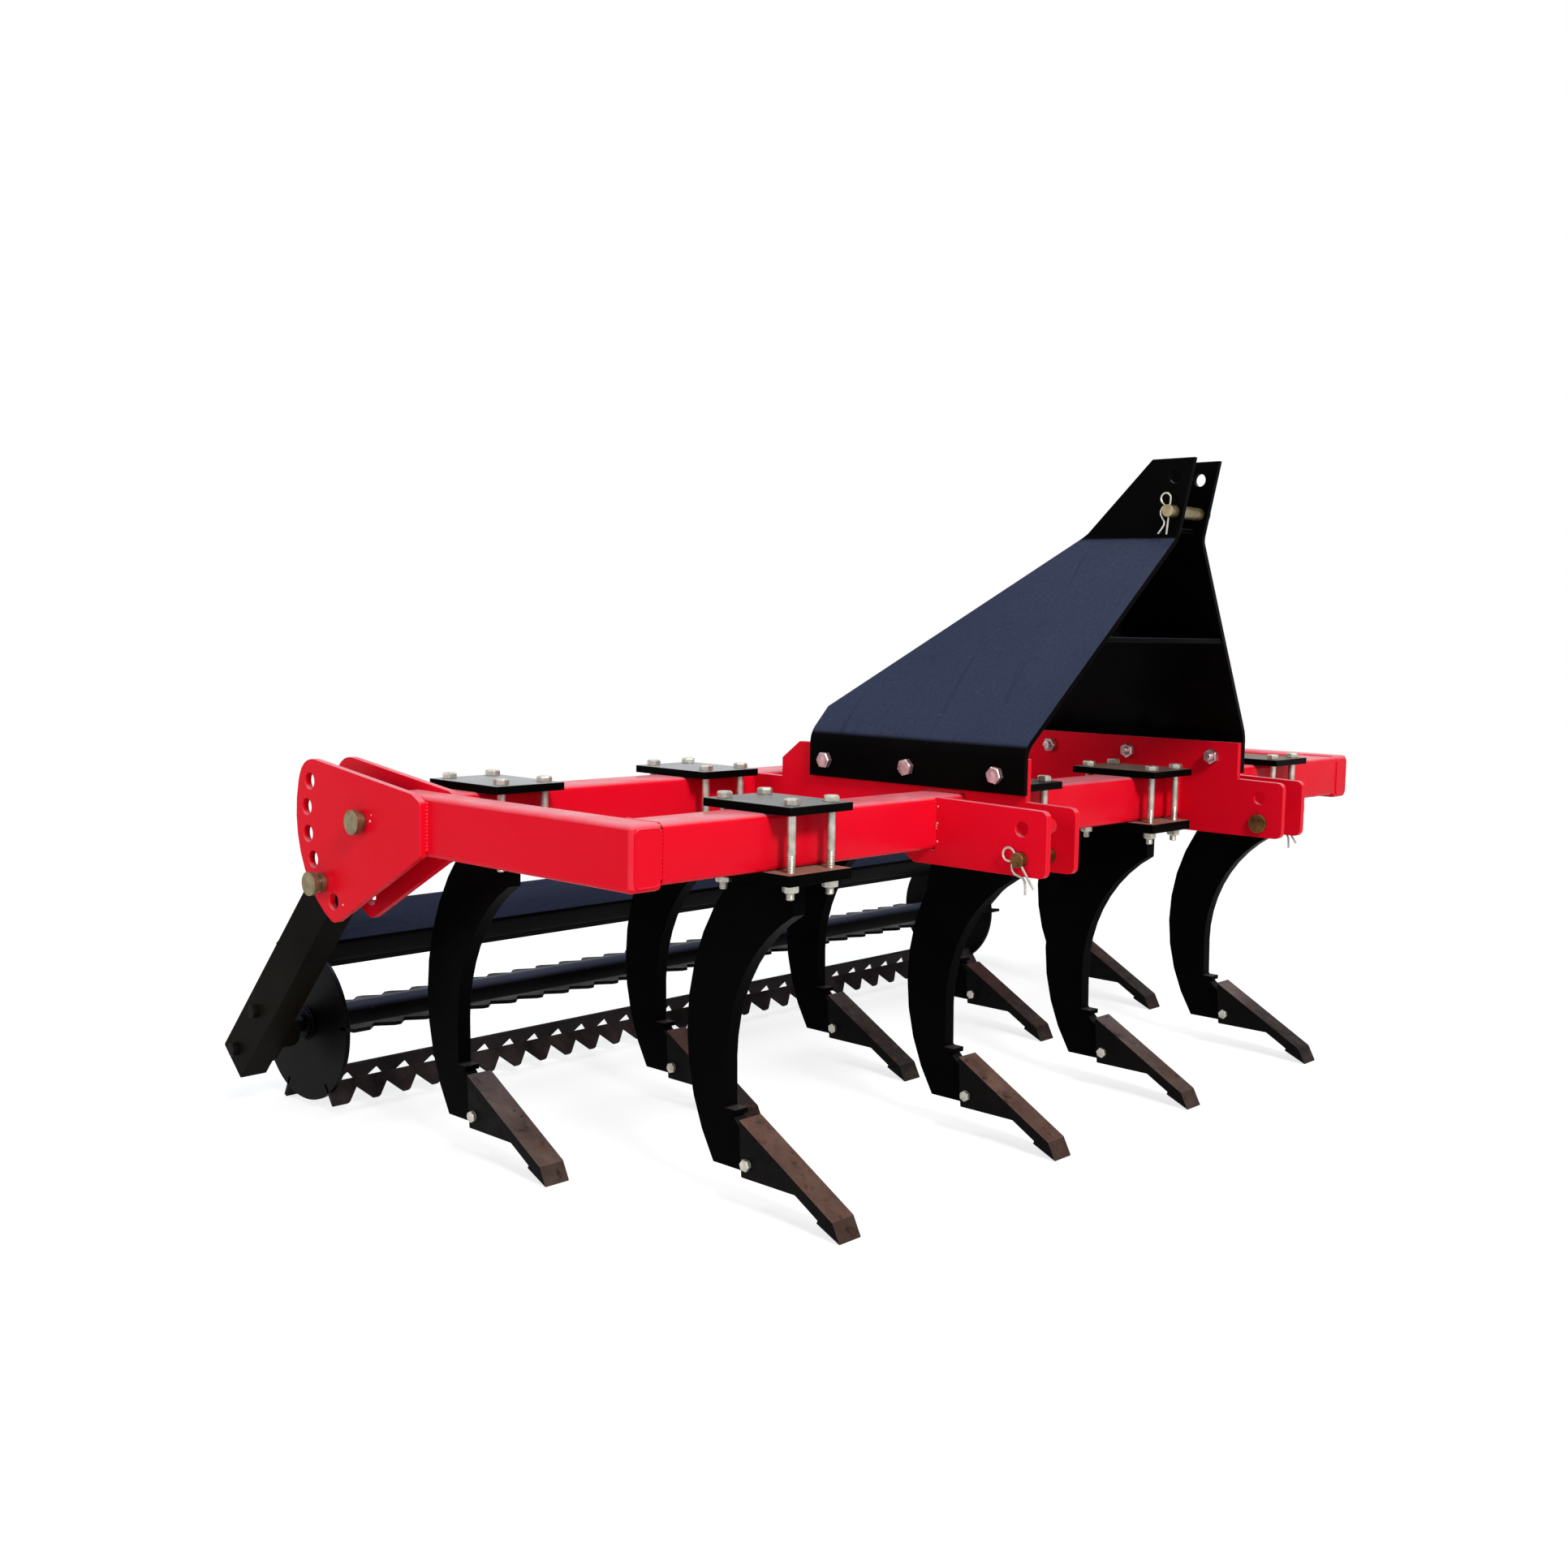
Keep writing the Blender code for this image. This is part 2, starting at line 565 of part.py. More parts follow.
def shank_mesh():
    """Shank with its welded clamp plate and the stop block above the point."""
    half = SHANK_THICKNESS / 2
    clear = GAP / math.cos(POINT_ANGLE)
    rear_low = point_tip() - point_direction() * POINT_LENGTH
    heel_y = rear_low.x + 2 * GAP
    slot_front = SLOT_FRONT + GAP
    waist = (SHANK_WAIST_Y, SHANK_WAIST_HEIGHT - FRAME_HEIGHT)
    outline = [(-SHANK_LEAD, -FOOT_PLATE / 2)]
    outline += reversed(bulged(waist, (-SHANK_LEAD, -SHANK_FRONT_EDGE), SHANK_FRONT_BULGE, SHANK_ARC_STEPS))
    outline += [(SHANK_SHIN_Y, SHANK_SHIN_Z), (heel_y, underside_height(heel_y) - clear)]
    outline += [(slot_front, underside_height(slot_front) - clear), (slot_front, SHANK_FLOOR)]
    heel = (SHANK_HEEL_Y, SHANK_FLOOR)
    outline += bulged(heel, (SHANK_TOP_DEPTH, -SHANK_REAR_EDGE), SHANK_REAR_BULGE, SHANK_ARC_STEPS)
    outline += [(SHANK_TOP_DEPTH, -FOOT_PLATE / 2)]
    body = prism_x(outline, -half, half)
    middle = BEAM / 2
    plate = block(
        -CLAMP_HALF_WIDTH, CLAMP_HALF_WIDTH, middle - CLAMP_HALF_DEPTH, middle + CLAMP_HALF_DEPTH,
        -FOOT_PLATE - GAP, -GAP)
    stop_rear = SHANK_SHIN_Y + STOP_SEAT
    stop = block(
        -STOP_WIDTH / 2, STOP_WIDTH / 2, stop_rear - STOP_DEPTH, stop_rear,
        SHANK_SHIN_Z - 1.3 * STOP_HEIGHT, SHANK_SHIN_Z - 0.3 * STOP_HEIGHT)
    return union(body, plate, stop)


def point_mesh():
    """Chisel point: a bevelled bar on two cheeks that straddle the shank."""
    half = POINT_WIDTH / 2
    tip = point_tip()
    rear_low = tip - point_direction() * POINT_LENGTH
    rear_top = rear_low - point_normal() * POINT_THICKNESS
    bevel_top = rear_top + point_direction() * (POINT_LENGTH - POINT_BEVEL)
    lip = tip - point_direction() * LIP_LENGTH
    outline = [
        tuple(rear_top), tuple(bevel_top), tuple(tip), tuple(lip + point_normal() * LIP_DEPTH), tuple(lip),
        (underside_place(CHEEK_BOTTOM), CHEEK_BOTTOM), (CHEEK_REAR, CHEEK_BOTTOM)]
    body = prism_x(outline, -half, half)
    slot_half = SHANK_THICKNESS / 2 + GAP
    far = POINT_TIP_Y + POINT_LENGTH
    low = CHEEK_BOTTOM - 0.02
    roof = (far, underside_height(far))
    slot = prism_x(
        ((SLOT_FRONT, underside_height(SLOT_FRONT)), (SLOT_FRONT, low), (far, low), roof),
        -slot_half, slot_half)
    return cut(body, slot)


def clamp_mesh():
    """Upper clamp plate with its four long bolts down to the shank's plate."""
    middle = BEAM / 2
    low = BEAM + GAP
    mesh = block(
        -CLAMP_HALF_WIDTH, CLAMP_HALF_WIDTH, middle - CLAMP_HALF_DEPTH, middle + CLAMP_HALF_DEPTH,
        low, low + CLAMP_PLATE)
    bolts = [
        round_z(CLAMP_BOLT_RADIUS, 0.0, low + CLAMP_PLATE / 2, (x, middle + y), CLAMP_BOLT_SIDES)
        for x in (-CLAMP_BOLT_X, CLAMP_BOLT_X) for y in (-CLAMP_BOLT_Y, CLAMP_BOLT_Y)]
    return union(mesh, *bolts)


def add_shanks(frame):
    shank, point, clamp = shank_mesh(), point_mesh(), clamp_mesh()
    for row, number, side, datum, distance in SHANK_PLACES:
        reach = {
            "side_beam": FRONT_BEAM_X - distance,
            "outside_hitch": HITCH_HALF_SPREAD + distance,
            "inside_hitch": HITCH_HALF_SPREAD - LUG_THICKNESS - distance,
            "centre": distance}[datum]
        row_y = 0.0 if row == "front" else ROW_SPACING
        for piece, mesh, look in (("shank", shank, BLACK), ("point", point, STEEL), ("clamp", clamp, BLACK)):
            thing = finish(f"{piece}_{row}_{number}", mesh, look, frame)
            thing.location = (side * reach, row_y, 0.0)


def sector_mesh(x_low, x_high):
    arc = []
    for i in range(SECTOR_ARC_STEPS + 1):
        angle = SECTOR_START + (SECTOR_END - SECTOR_START) * i / SECTOR_ARC_STEPS
        arc.append((PIVOT_Y + SECTOR_RADIUS * math.cos(angle), PIVOT_Z + SECTOR_RADIUS * math.sin(angle)))
    front = ROW_SPACING - SECTOR_OVERLAP
    edge = [
        (front, SECTOR_FRONT_LOW), (front, SECTOR_FRONT_HIGH),
        (front + SECTOR_SHOULDER_Y, SECTOR_FRONT_HIGH + SECTOR_SHOULDER_Z),
        (PIVOT_Y + SECTOR_CREST_Y, PIVOT_Z + SECTOR_CREST_Z)]
    radii = [*SECTOR_ROUNDS] + [0.0] * (len(arc) - 2) + [SECTOR_TAIL_ROUND]
    mesh = prism_x(rounded(edge + arc, radii), x_low, x_high)
    cutters = []
    for i in range(HOLE_COUNT):
        angle = HOLE_FIRST - HOLE_PITCH * i
        centre = (PIVOT_Y + HOLE_CIRCLE * math.cos(angle), PIVOT_Z + HOLE_CIRCLE * math.sin(angle))
        radius = PIN_RADIUS + GAP if i == LOCK_HOLE else HOLE_RADIUS
        cutters.append(round_x(radius, x_low - 0.01, x_high + 0.01, centre))
    cutters.append(round_x(PIN_RADIUS + GAP, x_low - 0.01, x_high + 0.01, (PIVOT_Y, PIVOT_Z)))
    return cut(mesh, *cutters)


def add_sectors(frame):
    outer_low = FRAME_HALF_WIDTH + GAP
    outer_high = outer_low + SECTOR_THICKNESS
    inner_high = FRONT_BEAM_X - GAP
    inner_low = inner_high - SECTOR_THICKNESS
    both_sides("sector_outer", sector_mesh(outer_low, outer_high), RED, frame)
    both_sides("sector_inner", sector_mesh(inner_low, inner_high), RED, frame)
    pivot = (PIVOT_Y, PIVOT_Z)
    shaft = round_x(PIN_RADIUS, inner_low - PIN_TAIL, outer_high + PIN_NECK + PIN_HEAD / 2, pivot)
    collar = round_x(PIN_RADIUS + 0.004, outer_high + GAP, outer_high + PIN_NECK + PIN_HEAD / 2, pivot)
    head = round_x(PIN_HEAD_RADIUS, outer_high + PIN_NECK, outer_high + PIN_NECK + PIN_HEAD, pivot)
    both_sides("pivot_pin", union(shaft, collar, head), ZINC, frame, smooth=True)
    angle = HOLE_FIRST - HOLE_PITCH * LOCK_HOLE
    place = (PIVOT_Y + HOLE_CIRCLE * math.cos(angle), PIVOT_Z + HOLE_CIRCLE * math.sin(angle))
    shaft = round_x(PIN_RADIUS, outer_low, outer_high + LOCK_NECK + PIN_HEAD / 2, place)
    collar = round_x(PIN_RADIUS + 0.004, outer_high + GAP, outer_high + LOCK_NECK / 2, place)
    head = round_x(PIN_HEAD_RADIUS, outer_high + LOCK_NECK, outer_high + LOCK_NECK + PIN_HEAD, place)
    both_sides("lock_pin", union(shaft, collar, head), ZINC, frame, smooth=True)


def on_arm(along, across):
    """The (y, z) place that lies so far along and behind the arm's line from the pivot."""
    return (
        PIVOT_Y + along * math.cos(ARM_ANGLE) - across * math.sin(ARM_ANGLE),
        PIVOT_Z + along * math.sin(ARM_ANGLE) + across * math.cos(ARM_ANGLE))


def arm_box(along_low, along_high, across_low, across_high, x_low, x_high, edge=0.0):
    corners = (
        on_arm(along_low, across_low), on_arm(along_high, across_low),
        on_arm(along_high, across_high), on_arm(along_low, across_high))
    return prism_x(rounded(corners, (edge,) * 4), x_low, x_high)


def add_roller_frame(swing):
    low, high = ARM_INNER_X, ARM_INNER_X + ARM_WIDTH
    arm = arm_box(
        ARM_START, AXLE_ALONG + ARM_PAST_AXLE, ARM_FRONT, ARM_FRONT + ARM_DEPTH, low, high, ARM_EDGE)
    arm = cut(arm, round_x(PIN_RADIUS + GAP, low - 0.01, high + 0.01, (PIVOT_Y, PIVOT_Z)))
    both_sides("roller_arm", arm, BLACK, swing)
    half = low - GAP
    tube = arm_box(
        CROSS_START, CROSS_START + CROSS_SIZE, CROSS_FRONT, CROSS_FRONT + CROSS_DEPTH, -half, half, CROSS_EDGE)
    finish("roller_cross_tube", tube, BLACK, swing)
    plate = arm_box(
        AXLE_ALONG - BEARING_LENGTH / 2, AXLE_ALONG + BEARING_LENGTH / 2,
        AXLE_ACROSS - BEARING_HEIGHT / 2, AXLE_ACROSS + BEARING_HEIGHT / 2,
        BEARING_PLATE_X, BEARING_PLATE_X + BEARING_PLATE, BEARING_CORNER)
    axle = (AXLE_Y, AXLE_Z)
    barrel = round_x(BEARING_BARREL_RADIUS, BEARING_FACE_X, BEARING_PLATE_X + BEARING_PLATE / 2, axle)
    bore = round_x(AXLE_RADIUS + GAP, BEARING_FACE_X - 0.01, ARM_INNER_X + 0.01, axle)
    both_sides("roller_bearing", cut(union(plate, barrel), bore), BLACK, swing)


def toothed_bar_outline():
    """One bar in (x, r): straight inner edge, V gaps between flat-tipped teeth outside."""
    length = ROLLER_HALF_LENGTH
    count = int((2 * length - TOOTH_TIP) / TOOTH_PITCH)
    start = -(count * TOOTH_PITCH) / 2
    valley = TINE_RADIUS - TOOTH_DEPTH
    outline = [(-length, TINE_ROOT_RADIUS), (-length, TINE_RADIUS)]
    for i in range(count):
        left = start + i * TOOTH_PITCH
        outline += [
            (left + TOOTH_TIP / 2, TINE_RADIUS), (left + TOOTH_PITCH / 2, valley),
            (left + TOOTH_PITCH - TOOTH_TIP / 2, TINE_RADIUS)]
    return outline + [(length, TINE_RADIUS), (length, TINE_ROOT_RADIUS)]


def toothed_bar(angle):
    outline = toothed_bar_outline()

    def build(shape):
        half = TINE_THICKNESS / 2
        face = shape.faces.new([shape.verts.new((x, -half, radius)) for x, radius in outline])
        moved = bmesh.ops.extrude_face_region(shape, geom=[face])["geom"]
        corners = [item for item in moved if isinstance(item, bmesh.types.BMVert)]
        bmesh.ops.translate(shape, verts=corners, vec=(0.0, TINE_THICKNESS, 0.0))
        turn = Matrix.Translation((0.0, AXLE_Y, AXLE_Z)) @ Matrix.Rotation(angle, 4, "X")
        bmesh.ops.transform(shape, matrix=turn, verts=shape.verts)
    return mesh_from(build)


def add_roller(spin):
    axle = (AXLE_Y, AXLE_Z)
    axle_end = BEARING_PLATE_X + BEARING_PLATE / 2
    inner = ROLLER_HALF_LENGTH - DISC_THICKNESS
    pieces = [
        round_x(DISC_RADIUS, -ROLLER_HALF_LENGTH, -inner, axle, 40),
        round_x(DISC_RADIUS, inner, ROLLER_HALF_LENGTH, axle, 40),
        round_x(AXLE_RADIUS, -axle_end, -inner, axle),
        round_x(AXLE_RADIUS, inner, axle_end, axle)]
    tube = round_x(TUBE_RADIUS, -inner - DISC_THICKNESS / 2, inner + DISC_THICKNESS / 2, axle)
    # One bar stands on the ground at rest, leaning to the rear by its angle
    bars = [toothed_bar(TINE_LEAN + 2 * math.pi * i / TINE_BARS) for i in range(TINE_BARS)]
    finish("roller", union(tube, *pieces, *bars), BLACK, spin)


def add_axis(name, frame, place):
    """An empty on a joint's axis. Its children are drawn in frame coordinates."""
    empty = bpy.data.objects.new(name, None)
    bpy.context.scene.collection.objects.link(empty)
    empty.parent = frame
    empty.location = place
    return empty


def carry(holder):
    """Puts the frame's origin back under pieces that hang from an axis empty."""
    for child in holder.children:
        if child.type == "MESH":
            child.matrix_parent_inverse = Matrix.Translation(-holder.location)


def main():
    for thing in list(bpy.data.objects):
        bpy.data.objects.remove(thing)
    frame = bpy.data.objects.new("frame_origin", None)
    bpy.context.scene.collection.objects.link(frame)
    frame.location = FRAME_ORIGIN
    add_frame(frame)
    add_hitch(frame)
    add_tower(frame)
    add_shanks(frame)
    add_sectors(frame)
    swing = add_axis("arm_axis", frame, (0.0, PIVOT_Y, PIVOT_Z))
    add_roller_frame(swing)
    carry(swing)
    spin = add_axis("roller_axis", frame, (0.0, AXLE_Y, AXLE_Z))
    add_roller(spin)
    carry(spin)


main()
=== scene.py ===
# Looks of the subsoiler: paint, bare steel, bolts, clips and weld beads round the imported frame.
import json
import math
import random

import bmesh
import bpy
from mathutils import Matrix, Vector


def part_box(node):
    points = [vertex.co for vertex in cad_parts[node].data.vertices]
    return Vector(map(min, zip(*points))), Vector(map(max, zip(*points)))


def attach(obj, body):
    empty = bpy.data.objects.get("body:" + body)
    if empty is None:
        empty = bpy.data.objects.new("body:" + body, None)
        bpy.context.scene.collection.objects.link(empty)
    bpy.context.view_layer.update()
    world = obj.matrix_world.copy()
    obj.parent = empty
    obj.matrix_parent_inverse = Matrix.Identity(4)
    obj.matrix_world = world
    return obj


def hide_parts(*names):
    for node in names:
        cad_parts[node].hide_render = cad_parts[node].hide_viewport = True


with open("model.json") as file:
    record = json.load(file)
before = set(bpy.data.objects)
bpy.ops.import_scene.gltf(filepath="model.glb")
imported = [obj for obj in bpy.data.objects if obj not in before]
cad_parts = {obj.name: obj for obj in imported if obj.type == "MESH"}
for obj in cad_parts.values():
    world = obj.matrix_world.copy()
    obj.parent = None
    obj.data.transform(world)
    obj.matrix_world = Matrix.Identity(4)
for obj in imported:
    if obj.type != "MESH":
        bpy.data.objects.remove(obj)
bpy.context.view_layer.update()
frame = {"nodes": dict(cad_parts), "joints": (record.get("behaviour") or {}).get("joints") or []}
DRAWS = random.Random(7)

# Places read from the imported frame, all in metres
BEAM_LOW, BEAM_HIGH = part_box("front_beam")
TOOL_Y = BEAM_LOW.y
TOOL_Z = BEAM_LOW.z
BEAM = BEAM_HIGH.y - BEAM_LOW.y
REAR_BEAM_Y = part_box("rear_beam")[0].y - TOOL_Y
PIVOT_LOW, PIVOT_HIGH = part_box("pivot_pin_left")
PIVOT = Vector((0, (PIVOT_LOW.y + PIVOT_HIGH.y) / 2, (PIVOT_LOW.z + PIVOT_HIGH.z) / 2))
AXLE = Vector(frame["joints"][1]["pos_m"])
ARM_OUTER_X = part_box("roller_arm_left")[1].x
BEARING_LOW, BEARING_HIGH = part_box("roller_bearing_left")

# Photograph's camera
CAMERA_PLACE = (-2.9754, -2.5056, 1.0453)
CAMERA_TARGET = (0.0838, 0.3802, 0.6612)
CAMERA_ROLL = 0.0179
CAMERA_LENS = 38.0
CAMERA_SENSOR = 36.0
CAMERA_SHIFT = (0.00047, -0.00336)
CAMERA_REACH = 100.0

# Bolt heads, nuts and threads
BOLT_RADIUS = 0.0079
HEAD_RADIUS = 0.0148
HEAD_HEIGHT = 0.0115
NUT_HEIGHT = 0.0140
THREAD_PITCH = 0.0025
THREAD_ROOT = 0.90           # share of the bolt's radius

# Clamps
CLAMP_PLATE = 0.015
CLAMP_BOLT_X = 0.0506
CLAMP_BOLT_Y = 0.081
CLAMP_FREE = 0.013           # bolt end past its nut
CLAMP_THREAD = (0.001, 0.052)  # start and end, above the lower nut
CLAMP_PLAIN = 0.053          # where the unthreaded stretch starts
CLAMP_BOLT_TOP = 0.002       # bolt's top end under the head's face
FOOT_PLATE = 0.0203          # lower clamp plate, with its gap under the beam
FOOT_LOW = TOOL_Z - FOOT_PLATE

# Bolts of the tower, behind and above the front beam's lower front edge
TOWER_BOLTS = (-0.082, 0.135, 0.352)
TOWER_BOLT_Z = 0.1436
TOWER_HEAD = 0.0174
TOWER_FREE = 0.010

# Bolt through a point's cheeks, and bolts of a roller bearing along and across its arm
POINT_BOLT_Y = 0.083
POINT_BOLT_Z = -0.5426
POINT_HEAD = 0.0118
POINT_FREE = 0.006
BEARING_BOLTS = ((0.611, 0.031), (0.7395, 0.031))
BEARING_HEAD = 0.0150
BEARING_NUT = 0.0140
BEARING_FREE = 0.008
BEARING_PLATE = 0.012

# Spring clips: a straight leg, a loop and a bent leg, as (along the leg, beside it)
CLIP_LEG_END = 0.040
CLIP_LEG = 0.062
CLIP_LEG_STEPS = 7
CLIP_LOOP = 0.0095
CLIP_LOOP_SWEEP = math.pi * 1.30
CLIP_LOOP_STEPS = 15
CLIP_BEND = (
    (-0.0105, 0.0098), (-0.005, 0.0145), (0.001, 0.0165), (0.007, 0.0155), (0.013, 0.0110),
    (0.018, 0.0070), (0.024, 0.0068), (0.031, 0.0105), (0.040, 0.0165))
CLIP_DROP = 0.009
HITCH_CLIP_INSET = 0.0055
HITCH_CLIP_SIZE = 1.30
HITCH_CLIP_WIRE = 0.0022
HITCH_CLIP_LEAN = (-0.58, -0.81)
TOP_CLIP_INSET = 0.009
TOP_CLIP_RISE = 0.008
TOP_CLIP_SIZE = 1.12
TOP_CLIP_WIRE = 0.0019

# Softened edges
SIDE_BEAM_EDGE = 0.008
ARM_EDGE = 0.003
PLATE_EDGE = 0.0022
POINT_EDGE = 0.0018
PIN_EDGE = 0.0016
SMALL_EDGE = 0.0015
TOOL_EDGE = 0.0012
TOWER_EDGE = 0.0010
TINE_EDGE = 0.0008
LARGE_BOLT_EDGE = 0.0006
BOLT_EDGE = 0.0005
EDGE_ANGLE = math.radians(28)
SHARP_ANGLE = math.radians(32)

# Closing plates of the beams
CAP_CORNER = 0.010
CAP_DEPTH = 0.0016
CAP_BEAD = 0.0018
CAP_STEP = 0.003

# Paint chips
CHIP_CORNERS = 9
CHIP_HEIGHT = 0.0003
LUG_CHIPS = (0.016, 0.041, 0.046, 0.051, 0.083)

# Radii of the weld beads, their steps and their ripples
BEAD = 0.0035
SEAM_BEAD = 0.0042
PLATE_BEAD = 0.0034
ARM_BEAD = 0.0032
LUG_BEAD = 0.0030
FINE_BEAD = 0.0028
BRACE_BEAD = 0.0026
BEAD_STEP = 0.0016
RING_STEP = 0.0024
RIPPLE = 0.25
CAP_RIPPLE = 0.10
RIPPLE_STEPS = 4
WOBBLE = 0.06

# Cage roller
TINE_RADIUS = 0.196
TINE_ROOT = 0.1434
TINE_THICKNESS = 0.008
TINE_BARS = 6
TINE_LEAN = math.radians(25)
TINE_END_ROUND = 0.003
TOOTH_PITCH = 0.0757
TOOTH_DEPTH = 0.0335
TOOTH_TIP = 0.015
TOOTH_TIP_ROUND = 0.006
TOOTH_ROOT_ROUND = 0.0025
DISC_RADIUS = 0.1666
DISC_THICKNESS = 0.010
DISC_CHAMFER = 0.001
TUBE_RADIUS = 0.030
TUBE_SEAT = 0.004
STUB_RADIUS = 0.0175
STUB_SEAT = 0.002
COLLAR = ((-0.002, 0.034), (0.008, 0.034), (0.010, 0.032))  # (past the disc, radius)
COLLAR_BEAD = 0.035
ROLLER_HALF = BEARING_LOW.x - 0.034

# Arms: how far the axle stands behind and along an arm from its pivot, and the cross tube's corners
AXLE_BEHIND = 0.024
AXLE_ALONG = 0.676
CROSS_CORNERS = ((0.349, -0.015), (0.349, 0.068), (0.415, 0.068), (0.415, -0.015))

# Studio
DOME = (0.88, 0.93, 1.0, 1.0)
DOME_STRENGTH = 0.46
WHITE = (1.0, 1.0, 1.0, 1.0)
FLOOR_HALF = 30.0
FLOOR_DROP = 0.0005
FLOOR_PLAIN = (0.62, 0.62, 0.62, 1.0)
FLOOR_LIT = (0.34, 0.34, 0.34, 1.0)
FLOOR_GLOW = 0.76
FLOOR_FADE = (1.6, 3.6)
LAMPS = (
    # name, place, aim, size, power, colour
    ("key", (-3.3, -9.1, 7.6), (0, 0, 0.5), 2.8, 1070.0, (1.0, 0.97, 0.95)),
    ("top", (0.3, 0.4, 5.0), (0, 0.1, 0.5), 3.2, 98.0, (0.92, 0.96, 1.0)),
    ("fill", (-6.8, 0.8, 2.4), (0, 0.1, 0.6), 3.2, 104.0, (1.0, 1.0, 1.0)))

# Colours of the paints
RED_DEEP = (0.695, 0.0026, 0.014)
RED_BRIGHT = (0.735, 0.0036, 0.018)
# Pale film on what looks up: dust and a painted reflection of the sky
DUST_AND_SKY_RED = (0.50, 0.300, 0.345)
# Pale film on softened red edges: a painted highlight, with dust
PINK_DUST_AND_HIGHLIGHT = (0.66, 0.24, 0.29)
GRIT = (0.50, 0.38, 0.34)
JET = (0.0010, 0.0009, 0.0009)
SOOT = (0.0024, 0.0020, 0.0018)
# Black enamel on softened edges, a little lighter than the faces: a painted highlight
RIM_DARK = (0.0020, 0.0018, 0.0018)
RIM_LIGHT = (0.0060, 0.0055, 0.0050)
ARM_DARK = (0.0034, 0.0025, 0.0016)
ARM_LIGHT = (0.0078, 0.0060, 0.0040)
CAGE_LIGHT = (0.0036, 0.0028, 0.0028)
TINE_LIGHT = (0.0040, 0.0031, 0.0030)
# Bluish films on what looks up: painted reflections of the sky
SLATE = (0.034, 0.042, 0.078)
RIM_SLATE = (0.030, 0.032, 0.042)
CAGE_SLATE = (0.050, 0.056, 0.095)
TAN_DUST = (0.40, 0.215, 0.165)
GREY_DUST = (0.050, 0.045, 0.044)
LOW_SOIL = (0.040, 0.030, 0.031)
SPECK = (0.20, 0.18, 0.16)

# Colours of the points' steel
TIP_SOOT = (0.012, 0.011, 0.011)
RUST = (0.115, 0.042, 0.022)
MILL_SCALE = (0.010, 0.008, 0.007)
SIDE_DARK = (0.0016, 0.0014, 0.0014)
SIDE_LIGHT = (0.0045, 0.0038, 0.0034)
STEEL_SHADES = (0.62, 1.35)  # factors of the darker and the lighter shade


def at(x, y, z):
    """A place given from the front beam's lower front edge, as the tool frame is drawn."""
    return Vector((x, TOOL_Y + y, TOOL_Z + z))


# Materials
def node(tree, kind, **inputs):
    """A shader node, with sockets and settings given by name."""
    made = tree.nodes.new(kind)
    for key, value in inputs.items():
        name = key.replace("_", " ")
        if name in made.inputs:
            made.inputs[name].default_value = value
        else:
            setattr(made, key, value)
    return made


def noise(tree, scale, detail=4.0, rough=0.55, stretch=None):
    place = node(tree, "ShaderNodeTexCoord").outputs["Object"]
    if stretch:
        mapping = node(tree, "ShaderNodeMapping", Scale=stretch)
        tree.links.new(place, mapping.inputs["Vector"])
        place = mapping.outputs["Vector"]
    made = node(tree, "ShaderNodeTexNoise", Scale=scale, Detail=detail, Roughness=rough)
    tree.links.new(place, made.inputs["Vector"])
    return made.outputs["Fac"]


def spread(tree, value, low, high, out_low=0.0, out_high=1.0):
    """Maps a value's range to another, clamped at both ends."""
    made = node(
        tree, "ShaderNodeMapRange", From_Min=low, From_Max=high, To_Min=out_low, To_Max=out_high)
    tree.links.new(value, made.inputs["Value"])
    return made.outputs["Result"]


def times(tree, a, b):
    made = node(tree, "ShaderNodeMath", operation="MULTIPLY")
    for k, value in enumerate((a, b)):
        if isinstance(value, float):
            made.inputs[k].default_value = value
        else:
            tree.links.new(value, made.inputs[k])
    return made.outputs[0]


def mix(tree, factor, a, b):
    made = node(tree, "ShaderNodeMix", data_type="RGBA")
    tree.links.new(factor, made.inputs["Factor"])
    for key, value in (("A", a), ("B", b)):
        socket = [s for s in made.inputs if s.name == key and s.type == "RGBA"][0]
        if isinstance(value, tuple):
            socket.default_value = (*value, 1.0)
        else:
            tree.links.new(value, socket)
    return [s for s in made.outputs if s.type == "RGBA"][0]


def third_part(tree, output):
    """The Z of one of the coordinates that a piece gives."""
    place = node(tree, "ShaderNodeTexCoord")
    parts = node(tree, "ShaderNodeSeparateXYZ")
    tree.links.new(place.outputs[output], parts.inputs[0])
    return parts.outputs["Z"]


def upward(tree, low, high):
    """How much a face looks up, from 0 to 1, by its own normal."""
    return spread(tree, third_part(tree, "Normal"), low, high)


def above_ground(tree):
    """How high a place stands in the pose that the pieces are drawn in."""
    return third_part(tree, "Object")


def start_material(name, roughness, metallic=0.0, specular=0.5):
    material = bpy.data.materials.new(name)
    material.use_nodes = True
    tree = material.node_tree
    shader = tree.nodes["Principled BSDF"]
    shader.inputs["Roughness"].default_value = roughness
    shader.inputs["Metallic"].default_value = metallic
    shader.inputs["Specular IOR Level"].default_value = specular
    return material, tree, shader


def bump(tree, shader, relief, distance, strength):
    made = node(tree, "ShaderNodeBump", Strength=strength, Distance=distance)
    tree.links.new(relief, made.inputs["Height"])
    tree.links.new(made.outputs["Normal"], shader.inputs["Normal"])


